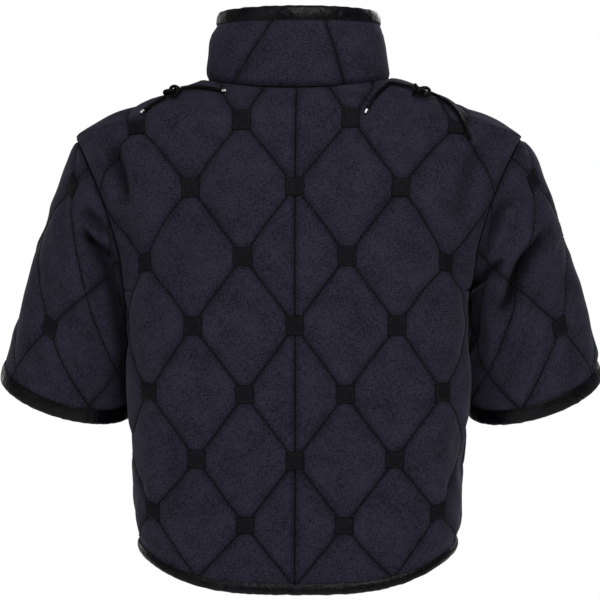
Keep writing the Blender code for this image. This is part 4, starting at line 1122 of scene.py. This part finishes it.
PATCH_HALF = 0.0108
BACK_PATCHES = [(p, q) for q in range(0, 7) for p in (-3, -2, -1, 0, 1, 2, 3) if (p + q) % 2 == 1]
FRONT_PATCHES = [(p, q) for q in range(1, 7) for p in (-3, -2, -1, 1, 2, 3) if (p + q) % 2 == 1]

for name in ("back_left", "back_right", "front_left", "front_right"):
    g = grids[name]
    sew = Sewing()
    patches = BACK_PATCHES if g["face"] == "back" else FRONT_PATCHES
    marks = [(abs(p), q) for p, q in patches if p * g["side"] >= 0]
    for k in range(-4, 8):
        for family in (1, -1):
            q = np.arange(-0.45, 7.10, 0.010)
            p = 2 * k - 1 - q if family == 1 else 2 * k - 1 + q
            even_p, even_q = p, q
            p, q = pulled(g["face"], g["side"], p, q)
            ends = np.interp(q, QS, g["arcs"][:, -1]) / half_diamond(q)
            ok = (p > 0.01) & (p < ends - 0.02)
            for pc, qc in marks:
                ok &= ~((np.abs(even_p - pc) * half_diamond(q) < PATCH_HALF + 0.0002)
                        & (np.abs(even_q - qc) * ROW_M < PATCH_HALF + 0.0002))
            for run in split_runs(ok):
                i, j = body_ij(g, q[run], p[run])
                pts, nor = bilinear(g, "outer", i, j), unit(bilinear(g, "normal", i, j))
                keep = (bilinear(g, "bound", i, j) > 0.0008) & (bilinear(g, "seam_far", i, j) > 0.0016)
                sew.line(pts, nor, keep=keep.astype(float))
    g["sewing"] = sew.build("stitches_" + name)

for side, word in ((1, "left"), (-1, "right")):
    g = grids["sleeve_" + word]
    sew = Sewing()
    (t0, v0), (t1, v1) = SLEEVE_PATCHES[side]
    for k in range(-4, 6):
        for family in (1, -1):
            qt = np.arange(2 * (0 - v0) / (v1 - v0), 2 * (1 - v0) / (v1 - v0), 0.010)
            v = v0 + qt * (v1 - v0) / 2
            pt = 2 * k - qt if family == 1 else 2 * k + qt
            turn = np.radians(t0 + (t1 - t0) * (v - v0) / (v1 - v0)) + pt * SLEEVE_HALF
            ok = (turn > math.radians(-160 + 1)) & (turn < math.radians(200 - 1))
            for pc, qc in ((0, 0), (0, 2)):
                ok &= ~((np.abs(pt - pc) * SLEEVE_HALF * 0.0745 < PATCH_HALF)
                        & (np.abs(qt - qc) * 0.081 < PATCH_HALF))
            for run in split_runs(ok):
                i, j = sleeve_ij(g, turn[run], v[run])
                pts, nor = bilinear(g, "outer", i, j), unit(bilinear(g, "normal", i, j))
                keep = (bilinear(g, "bound", i, j) > 0.0008) & (bilinear(g, "seam_far", i, j) > 0.0016)
                sew.line(pts, nor, keep=keep.astype(float))
    g["sewing"] = sew.build("stitches_sleeve_" + word)

g = grids["collar"]
sew = Sewing()
for lo, hi in COLLAR_LINES:
    v = np.linspace(0.02, 0.86, 70)
    i, j = collar_ij(g, lo + (hi - lo) * v, v)
    sew.line(bilinear(g, "outer", i, j), unit(bilinear(g, "normal", i, j)),
             keep=(bilinear(g, "bound", i, j) > 0.0008).astype(float))
g["sewing"] = sew.build("stitches_collar")


# --------------------------------------------------------------------- patches
def patch_skin(place, half_w, half_h, tilt, n=17):
    """A square of cloth sewn down over a crossing.  place(s, t) gives a point on the
    skin and its normal at s across and t down, in metres."""
    e = np.linspace(-1, 1, n)
    e = np.sign(e) * (1 - (1 - np.abs(e)) ** 1.35)
    s, t = np.meshgrid(e * half_w, e * half_h)
    ang = math.radians(tilt)
    fray = 1 + 0.018 * np.sin(5 * t / half_h + tilt) + 0.014 * np.sin(4 * s / half_w + 2 * tilt)
    s2 = (s * math.cos(ang) - t * math.sin(ang)) * fray
    t2 = (s * math.sin(ang) + t * math.cos(ang)) * fray
    pts, nor = place(s2, t2)
    border = np.minimum(half_w - np.abs(s), half_h - np.abs(t))
    top = 0.0006 + 0.0024 * (1 - np.exp(-np.maximum(border, 0) / 0.0009))
    top -= 0.00095 * np.exp(-((border - 0.0028) / 0.0008) ** 2)
    diag = np.minimum(np.abs(s - t), np.abs(s + t)) / math.sqrt(2)
    top -= 0.00050 * np.exp(-(diag / 0.0008) ** 2) * (border > 0.0020)
    top += 0.00012 * np.sin(s * 1900 + tilt) * np.sin(t * 1700)
    return pts, nor, top, s, t


def patch_set(name, items, slot_nodes, sewing):
    """items: (place, half width, half height, tilt)."""
    verts, faces, uvs = [], [], []
    for place, hw, hh, tilt in items:
        pts, nor, top, s, t = patch_skin(place, hw, hh, tilt)
        n = pts.shape[0]
        base = len(verts)
        outer, inner = pts + nor * top[..., None], pts + nor * 0.0003
        verts += list(outer.reshape(-1, 3)) + list(inner.reshape(-1, 3))
        half = n * n
        uv = np.stack([s, t], -1).reshape(-1, 2) + tilt * 0.01
        quads = []
        for i in range(n - 1):
            for j in range(n - 1):
                quads.append((i * n + j, i * n + j + 1, (i + 1) * n + j + 1, (i + 1) * n + j))
        rim = [(k, k + 1) for k in range(n - 1)] + [((n - 1) * n + k + 1, (n - 1) * n + k) for k in range(n - 1)]
        rim += [((k + 1) * n, k * n) for k in range(n - 1)] + [(k * n + n - 1, (k + 1) * n + n - 1) for k in range(n - 1)]
        local = [q for q in quads] + [tuple(half + x for x in q[::-1]) for q in quads]
        local += [(b, a, half + a, half + b) for a, b in rim]
        v = np.array(verts[base:])
        corner = v[np.array(local)]
        if closed([corner]) < 0:
            local = [f[::-1] for f in local]
        for f in local:
            faces.append([base + x for x in f])
            uvs += [uv[x % half] for x in f]
        # the stitched square and the two diagonals
        e = 0.0026

        def on(sv, tv):
            k = place(np.array([sv]), np.array([tv]))
            return k[0][0] + unit(k[1][0]) * 0.0022, unit(k[1][0])

        corners = [(-hw + e, -hh + e), (hw - e, -hh + e), (hw - e, hh - e), (-hw + e, hh - e)]
        ang = math.radians(tilt)
        segs = [(corners[k], corners[(k + 1) % 4]) for k in range(4)]
        segs += [(corners[0], corners[2]), (corners[1], corners[3])]
        for (s0, t0_), (s1, t1_) in segs:
            line_p, line_n = [], []
            for f in np.linspace(0, 1, 9):
                sx, tx = s0 + (s1 - s0) * f, t0_ + (t1_ - t0_) * f
                pp, nn = on(sx * math.cos(ang) - tx * math.sin(ang), sx * math.sin(ang) + tx * math.cos(ang))
                line_p.append(pp)
                line_n.append(nn)
            sewing.line(np.array(line_p), np.array(line_n), 0.0029, 0.0023, 0.0007, 0.0005)
    obj = mesh_object(name, np.array(verts), faces, [PATCH], np.array(uvs), None, None, 60)
    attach(obj, "root")
    if slot_nodes:
        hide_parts(*slot_nodes)
    return obj


def body_place(face, p, q):
    left, right = grids[face + "_left"], grids[face + "_right"]
    hd = float(half_diamond(q))

    def place(s, t):
        # image-wise across: p grows towards the wearer's left
        pp, qq = p + s / hd, q + t / ROW_M
        out_p, out_n = np.zeros(s.shape + (3,)), np.zeros(s.shape + (3,))
        for g, sel, sg in ((left, pp >= 0, 1), (right, pp < 0, -1)):
            if sel.any():
                i, j = body_ij(g, qq[sel], sg * pp[sel])
                out_p[sel] = bilinear(g, "lay", i, j)
                out_n[sel] = unit(bilinear(g, "normal0", i, j))
        return out_p, out_n

    return place


def sleeve_place(side, turn_deg, v0):
    g = grids["sleeve_left" if side > 0 else "sleeve_right"]
    i, j = sleeve_ij(g, np.array([math.radians(turn_deg)] * 2), np.array([v0 - 0.05, v0 + 0.05]))
    ends = bilinear(g, "lay", i, j)
    per_v = np.linalg.norm(ends[1] - ends[0]) / 0.10
    i, j = sleeve_ij(g, np.radians([turn_deg - 5, turn_deg + 5]), np.array([v0, v0]))
    ends = bilinear(g, "lay", i, j)
    per_t = np.linalg.norm(ends[1] - ends[0]) / math.radians(10)

    def place(s, t):
        i, j = sleeve_ij(g, math.radians(turn_deg) + s / per_t, v0 + t / per_v)
        return bilinear(g, "lay", i, j), unit(bilinear(g, "normal0", i, j))

    return place


back_sew, front_sew = Sewing(), Sewing()
sets = {"left": [], "middle": [], "right": []}
nodes = {"left": [], "middle": [], "right": []}
for k, (p, q) in enumerate(BACK_PATCHES, 1):
    where = "middle" if p == 0 else ("left" if p > 0 else "right")
    tilt = float(RNG.uniform(-2.2, 2.2))
    dp, dq = SHIFTED.get((p, q), (0.0, 0.0))
    sets[where].append((body_place("back", p + math.copysign(dp, p), q + dq), PATCH_HALF * RNG.uniform(0.96, 1.03),
                        PATCH_HALF * RNG.uniform(0.95, 1.02), tilt))
    nodes[where].append("patch_%02d" % k)
patch_pieces = {}
for where in sets:
    patch_pieces[where] = patch_set("patches_back_" + where, sets[where], nodes[where], back_sew)
n_patch = len(BACK_PATCHES)
sleeve_sew = {1: Sewing(), -1: Sewing()}
for side, word in ((1, "left"), (-1, "right")):
    items = [(sleeve_place(side, t, v), PATCH_HALF * 0.97, PATCH_HALF * 0.95, float(RNG.uniform(-3, 3)))
             for t, v in SLEEVE_PATCHES[side]]
    names = ["patch_%02d" % (n_patch + (1 if side > 0 else 3) + k) for k in range(2)]
    patch_pieces["sleeve_" + word] = patch_set("patches_sleeve_" + word, items, names, sleeve_sew[side])
    sleeve_sew[side].build("patch_stitches_sleeve_" + word, mat=PATCH_THREAD)
    # their like on the sleeve's front
    items = [(sleeve_place(side, t, v), PATCH_HALF * 0.97, PATCH_HALF * 0.95, float(RNG.uniform(-3, 3)))
             for t, v in ((SLEEVE_PATCHES[side][0][0] - 2 * 38.0, SLEEVE_PATCHES[side][0][1]),
                          (SLEEVE_PATCHES[side][1][0] - 2 * 38.0, SLEEVE_PATCHES[side][1][1]))]
    patch_pieces["sleeve_front_" + word] = patch_set("patches_sleeve_front_" + word, items, [], front_sew)
for where, sign in (("left", 1), ("right", -1)):
    items = [(body_place("front", p, q), PATCH_HALF * RNG.uniform(0.96, 1.03),
              PATCH_HALF * RNG.uniform(0.95, 1.02), float(RNG.uniform(-2.2, 2.2)))
             for p, q in FRONT_PATCHES if p * sign > 0]
    patch_pieces["front_" + where] = patch_set("patches_front_" + where, items, [], front_sew)
back_sew.build("patch_stitches_back", mat=PATCH_THREAD)
front_sew.build("patch_stitches_front", mat=PATCH_THREAD)


# -------------------------------------------------------------------- bindings
def edge_rows(g, edge, count):
    """Outer points, normals and inner points from an edge inwards, for each station
    along it: (stations, count, 3)."""
    out = []
    for key in ("outer", "normal0", "inner"):
        a = g[key]
        if edge == "bottom":
            out.append(np.transpose(a[::-1][:count], (1, 0, 2)))
        elif edge == "first":
            out.append(a[:, :count])
        else:
            out.append(a[:, ::-1][:, :count])
    return out


def joined(a, b):
    return [np.concatenate([x[:-1], (x[-1:] + y[:1]) / 2, y[1:]]) for x, y in zip(a, b)]


def turned_round(r):
    return [x[::-1] for x in r]


def binding(name, run, node_name, ring=False, seed=1, over=0.0):
    """Leather folded over an edge: on the cloth's own points, from its turned-in edge
    on the outside, round the rim, to the one inside."""
    outer, normal, inner = run
    m = outer.shape[1]
    e_out = unit(outer[:, 0] - outer[:, 1])
    e_in = unit(inner[:, 0] - inner[:, 1])
    mid = (outer[:, 0] + inner[:, 0]) / 2
    rise = unit(e_out + e_in)
    d = np.concatenate([np.zeros((len(outer), 1)), np.cumsum(
        np.linalg.norm(np.diff(outer, axis=1), axis=-1), 1)], 1)
    reach = d[:, -1:]
    t = d / reach                                   # 0 at the rim, 1 at the inner edge
    if ring:
        s = np.linalg.norm(outer[:, 0] - np.roll(outer[:, 0], 1, 0), axis=1).cumsum()
    else:
        s = np.concatenate([[0], np.linalg.norm(np.diff(outer[:, 0], axis=0), axis=1).cumsum()])
    total = s[-1]
    r = np.random.default_rng(seed)
    ripple = np.zeros_like(t)
    for k in range(9):
        turns = round(total / r.uniform(0.007, 0.032))
        lean = r.uniform(-2.0, 2.0)
        ripple += np.sin(2 * math.pi * turns * (s[:, None] / total) + lean * t * 3 + r.uniform(0, 6)) / 3
    bulge = 0.0004 + 0.0009 * np.sin(np.clip(t * 1.04, 0, 1) * math.pi) ** 0.7
    high = BIND + bulge + 0.00026 * ripple * np.sin(np.clip(t, 0.05, 0.97) * math.pi) ** 0.5
    high[:, -1] = 0.0009                            # the turned edge, sewn down
    high[:, -2] = BIND + 0.0004
    stitch_dip = np.exp(-((d - (reach - 0.0030)) / 0.0010) ** 2) * 0.0004
    high = high - stitch_dip
    gap = LAY_GAP

    def skin(points, out, sign, heights):
        return points + out * sign * heights[..., None]

    zero = np.full(t.shape, gap)
    low_out, low_in = skin(outer, normal, 1, zero), skin(inner, normal, -1, zero)
    top_out, top_in = skin(outer, normal, 1, zero + high), skin(inner, normal, -1, zero + high)
    low_out[:, 0] += e_out * gap
    low_in[:, 0] += e_in * gap
    rim_high = BIND + 0.0008 + 0.00022 * ripple[:, :1]
    arcs = []
    for f in (0.10, 0.32, 0.5, 0.68, 0.90):          # round the rim
        a = math.pi * f
        p = (mid + (top_out[:, 0] - top_in[:, 0]) / 2 * math.cos(a)
             + rise * (gap + rim_high) * (0.35 + 0.85 * math.sin(a)))
        arcs.append(p)
    profile = [low_out[:, k] for k in range(m - 1, -1, -1)] + [low_in[:, k] for k in range(m)]
    profile += [top_in[:, k] for k in range(m - 1, 0, -1)] + arcs[::-1]
    profile += [top_out[:, k] for k in range(1, m)]
    obj = strips(name, np.stack(profile, 1), [LEATHER], 48, loop=ring)
    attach(obj, "root")
    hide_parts(node_name)
    # its line of stitches, outside and inside
    sew = Sewing()
    k = m - 2
    for pts, sign in ((top_out, 1), (top_in, -1)):
        at = pts[:, k] * 0.60 + pts[:, k - 1] * 0.40 - normal[:, k] * sign * 0.0004
        nor = normal[:, k] * sign
        if ring:
            at, nor = np.concatenate([at, at[:1]]), np.concatenate([nor, nor[:1]])
        sew.line(at, nor, 0.0036, 0.0028, 0.0008, 0.0006)
    sew.build("stitches_" + name)
    return obj


def end_moved(r, end, distance):
    other = 1 if end == 0 else -2
    for k in (0, 2):
        way = unit(r[k][end] - r[k][other])
        r[k] = r[k].copy()
        r[k][end] = r[k][end] + way * distance
    return r


M = len(edge_steps(BIND_HEM))
fl_g, fr_g, bl_g, br_g = (grids[k] for k in ("front_left", "front_right", "back_left", "back_right"))
hem = joined(joined(edge_rows(fl_g, "bottom", M), turned_round(edge_rows(bl_g, "bottom", M))),
             joined(edge_rows(br_g, "bottom", M), turned_round(edge_rows(fr_g, "bottom", M))))
hem = end_moved(end_moved(hem, 0, LAY_GAP + BIND + 0.0004), -1, LAY_GAP + BIND + 0.0004)
bindings = {"hem": binding("binding_hem", hem, "hem_binding", seed=3)}
top = edge_rows(grids["collar"], "bottom", M)
top = end_moved(end_moved(top, 0, LAY_GAP + BIND + 0.0004), -1, LAY_GAP + BIND + 0.0004)
bindings["collar"] = binding("binding_collar", top, "collar_binding", seed=5)
for word in ("left", "right"):
    bindings["cuff_" + word] = binding("binding_cuff_" + word, edge_rows(grids["sleeve_" + word], "bottom", M),
                                       "cuff_binding_" + word, ring=True, seed=7 if word == "left" else 8)
for word, g in (("left", fl_g), ("right", fr_g)):
    low = [x[: -M + 1] for x in edge_rows(g, "first", M)]
    col = edge_rows(grids["collar"], "first" if word == "left" else "last", M)
    col = [x[: -M + 1] for x in col]
    run = joined(turned_round(low), col)
    bindings["front_" + word] = binding("binding_front_" + word, run, "front_binding_" + word, seed=11)


# --------------------------------------------------------------- laces and knots
def skin_tree(names):
    verts, faces, base = [], [], 0
    for name in names:
        mesh = name.data
        co = np.empty(len(mesh.vertices) * 3)
        mesh.vertices.foreach_get("co", co)
        verts += [tuple(v) for v in co.reshape(-1, 3)]
        faces += [tuple(base + i for i in f.vertices) for f in mesh.polygons]
        base += len(mesh.vertices)
    return BVHTree.FromPolygons(verts, faces)


GROUND = skin_tree([pieces[k] for k in ("back_left", "back_right", "front_left", "front_right", "collar")]
                   + [patch_pieces["left"], patch_pieces["right"]])

# Each lace: x, z seen from behind, and how far it stands off the cloth.
LACES = {
    "lace_left_a": ((0.1335, -0.0125, 0.0052), (0.1200, -0.0095, 0.0036), (0.1090, -0.0100, 0.0032),
                    (0.0960, -0.0125, 0.0032), (0.0850, -0.0145, 0.0032)),
    "lace_left_b": ((0.1495, -0.0228, 0.0050), (0.1610, -0.0285, 0.0042), (0.1700, -0.0335, 0.0042),
                    (0.1765, -0.0382, 0.0045)),
    "lace_right_a": ((-0.1330, -0.0130, 0.0052), (-0.1200, -0.0080, 0.0042), (-0.1090, -0.0065, 0.0042),
                     (-0.0990, -0.0140, 0.0038), (-0.0885, -0.0265, 0.0036), (-0.0815, -0.0380, 0.0036)),
    "lace_right_b": ((-0.1525, -0.0190, 0.0058), (-0.1665, -0.0235, 0.0052), (-0.1765, -0.0310, 0.0047),
                     (-0.1855, -0.0430, 0.0047), (-0.1925, -0.0550, 0.0047), (-0.1985, -0.0700, 0.0045)),
}
KNOTS = {"lace_left_knot": (0.1410, -0.0175, 0.0060), "lace_right_knot": (-0.1405, -0.0175, 0.0060)}


def back_surface(x, z):
    g = bl_g if x > 0 else br_g
    pts, nor = g["outer"].reshape(-1, 3), g["normal"].reshape(-1, 3)
    d = (pts[:, 0] - x) ** 2 + (pts[:, 2] - z) ** 2
    w = 1 / (d + 4e-6) ** 2
    w[d > np.partition(d, 5)[5]] = 0
    w = w / w.sum()
    return (pts * w[:, None]).sum(0), unit((nor * w[:, None]).sum(0))


def lift(x, z, off):
    p, n = back_surface(x, z)
    q = np.array([x, p[1], z])
    q[1] = p[1] - ((x - p[0]) * n[0] + (z - p[2]) * n[2]) / max(n[1], 0.35)
    return q + n * off


def curve_through(points, step):
    points = np.array(points)
    s = np.concatenate([[0], np.cumsum(np.linalg.norm(np.diff(points, axis=0), axis=1))])
    dense = np.linspace(0, s[-1], 200)
    c = np.stack([through(s, points[:, i], dense) for i in range(3)], 1)
    d = np.concatenate([[0], np.cumsum(np.linalg.norm(np.diff(c, axis=0), axis=1))])
    n = max(4, int(round(d[-1] / step)))
    at = np.linspace(0, d[-1], n + 1)
    return np.stack([np.interp(at, d, c[:, i]) for i in range(3)], 1)


def laid(points, clear):
    pts = [Vector(tuple(map(float, p))) for p in points]
    for _ in range(6):
        for k, p in enumerate(pts):
            at, n, _i, d = GROUND.find_nearest(p)
            signed = (p - at).dot(n)
            gap = d if signed >= 0 else -d
            if gap < clear:
                way = (p - at).normalized() if signed > 0 and d > 1e-6 else n
                pts[k] = at + way * (clear + 0.00005)
    return np.array([tuple(p) for p in pts])


def soothed(points, times=3):
    for _ in range(times):
        points[1:-1] = points[1:-1] * 0.5 + (points[:-2] + points[2:]) * 0.25
    return points


def cord_curve(name, points, diameter, mat, ring=False):
    curve = bpy.data.curves.new(name, "CURVE")
    curve.dimensions = "3D"
    curve.bevel_depth = diameter / 2
    curve.bevel_resolution = 4
    curve.use_fill_caps = True
    spline = curve.splines.new("POLY")
    spline.points.add(len(points) - 1)
    for p, co in zip(spline.points, points):
        p.co = (*map(float, co), 1.0)
    spline.use_cyclic_u = ring
    spline.use_smooth = True
    obj = bpy.data.objects.new(name, curve)
    bpy.context.collection.objects.link(obj)
    curve.materials.append(mat)
    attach(obj, "root")
    return obj


def turned(name, profile, at, axis, mat, sides=36, angle=35):
    axis = unit(axis)
    u = unit(np.cross(axis, (0.0, 0.0, 1.0) if abs(axis[2]) < 0.9 else (1.0, 0.0, 0.0)))
    w = np.cross(axis, u)
    t = 2 * math.pi * np.arange(sides) / sides
    rings = [np.array(at) + axis * h + (np.cos(t)[:, None] * u + np.sin(t)[:, None] * w) * r
             for r, h in profile]
    obj = strips(name, np.array(rings), [mat], angle)
    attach(obj, "root")
    return obj


cords, routes = {}, {}
for name, rows in LACES.items():
    line = curve_through([lift(*r) for r in rows], 0.0016)
    line = soothed(laid(line, LACE / 2 + 0.0005), 4)
    line = laid(line, LACE / 2 + 0.0002)
    routes[name] = line
    cords[name] = cord_curve("cord_" + name, line, LACE, WAXED)
    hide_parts(name)
for name, (x, z, off) in KNOTS.items():
    centre = lift(x, z, off)
    n = unit(back_surface(x, z)[1] + np.array([0, 0, 0.5]))
    u = unit(np.cross(n, (0.0, 0.0, 1.0)))
    w = np.cross(n, u)
    ring = []
    for i in range(110):
        t = 2 * math.pi * i / 110
        a = math.sin(t) + 2 * math.sin(2 * t)
        b = math.cos(t) - 2 * math.cos(2 * t)
        c = -math.sin(3 * t)
        ring.append(centre + u * a * 0.0035 + w * b * 0.0035 + n * c * 0.0030)
    low = min(0.0, min((Vector(tuple(p)) - GROUND.find_nearest(Vector(tuple(p)))[0]).dot(
        GROUND.find_nearest(Vector(tuple(p)))[1]) for p in ring) - LACE / 2 - 0.0003)
    cord_curve("knot_" + name, [p - n * low for p in ring], LACE, WAXED, True)
    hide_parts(name)
TIPS = {"lace_left_tip_a": "lace_left_a", "lace_left_tip_b": "lace_left_b", "lace_right_tip_a": "lace_right_a"}
for name, lace in TIPS.items():
    pts = routes[lace]
    way = unit(pts[-1] - pts[-3])
    for d in (0.0052, 0.0026):
        at, up, _i, far = GROUND.find_nearest(Vector(tuple(pts[-1] + way * d)))
        way = unit(way + np.array(up) * max(0.0, 0.0024 - far) / d)
    turned("tip_" + name, ((0.0017, -0.0006), (0.0019, 0.0), (0.0020, 0.0006), (0.0018, 0.0012),
                                        (0.0018, 0.0036), (0.0015, 0.0046), (0.0009, 0.0052)),
                        pts[-1] + way * 0.0001, way, METAL, 24)
    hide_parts(name)


# ------------------------------------------------------------- buttons and loops
BUTTON_QS = (0.62, 2.18, 3.74, 5.30)
for k, q in enumerate(BUTTON_QS, 1):
    p0 = []
    for dq in (-0.1, 0.1):
        p0.append(along(q + dq, "front", np.array([0.021 - 0.004, 0.021 + 0.004])))
    p0 = np.array(p0)
    p0[:, :, 0] *= -1
    middle = p0.reshape(-1, 3).mean(0)
    n = unit(np.cross(p0[0, 1] - p0[0, 0], p0[1, 0] - p0[0, 0]))
    if n[1] > 0:
        n = -n
    base = middle + n * (LAY_GAP + 0.0030)
    R = BUTTON_R
    obj = turned("leather_button_%d" % k, (
        (0.0034, 0.0), (0.0034, 0.0038), (R * 0.70, 0.0043), (R * 0.92, 0.0050), (R, 0.0062),
        (R * 0.98, 0.0072), (R * 0.90, 0.0080), (R * 0.74, 0.0087), (R * 0.50, 0.0092),
        (R * 0.25, 0.0095), (R * 0.08, 0.0096)), base, n, BUTTON, 44)
    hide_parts("button_%d" % k)
    up = unit(p0[0, 0] - p0[1, 0])
    side = unit(np.cross(n, up))
    if side[0] < 0:
        side = -side
    loop = []
    for i in range(25):
        t = -math.pi / 2 + math.pi * i / 24
        loop.append(base + n * 0.0021 - side * math.cos(t) * 0.0052 + up * math.sin(t) * 0.0052)
    low = [loop[0] + side * d + n * h for d, h in ((0.030, 0.0006), (0.022, 0.0004), (0.012, 0.0))]
    high = [loop[-1] + side * d + n * h for d, h in ((0.012, 0.0), (0.022, 0.0004), (0.030, 0.0006))]
    obj = cord_curve("button_loop_%d" % k, low + loop + high, 0.0022, LOOP)
    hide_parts("loop_%d" % k)

# ------------------------------------------------------------------ each grid's runs, worked out again and not used
for name, g in grids.items():
    base, ring = g["base"], g["ring"]
    first, last, top, bottom = runs(np.concatenate([base, base[:, :1]], 1) if ring else base)

# -------------------------------------------------------------------- the studio
mat, nt, bsdf = new_material("floor")
vec = node(nt, "ShaderNodeTexCoord").outputs["Object"]
soft = noise(nt, vec, 1.5, 2.0, 0.5)
nt.links.new(mix(nt, soft, (0.86, 0.86, 0.86), (0.90, 0.90, 0.90)), bsdf.inputs["Base Color"])
bsdf.inputs["Roughness"].default_value = 0.9
bsdf.inputs["Emission Color"].default_value = (1.0, 1.0, 1.0, 1.0)
bsdf.inputs["Emission Strength"].default_value = 0.42
t = 2 * math.pi * np.arange(96) / 96
disc = [(0.0, 0.0, -1.25)] + [(4.0 * math.cos(x), 4.0 * math.sin(x), -1.25) for x in t]
floor_mesh = bpy.data.meshes.new("floor")
floor_mesh.from_pydata(disc, [], [(0, k + 1, (k + 1) % 96 + 1) for k in range(96)])
floor_mesh.materials.append(mat)
floor = bpy.data.objects.new("floor", floor_mesh)
bpy.context.collection.objects.link(floor)
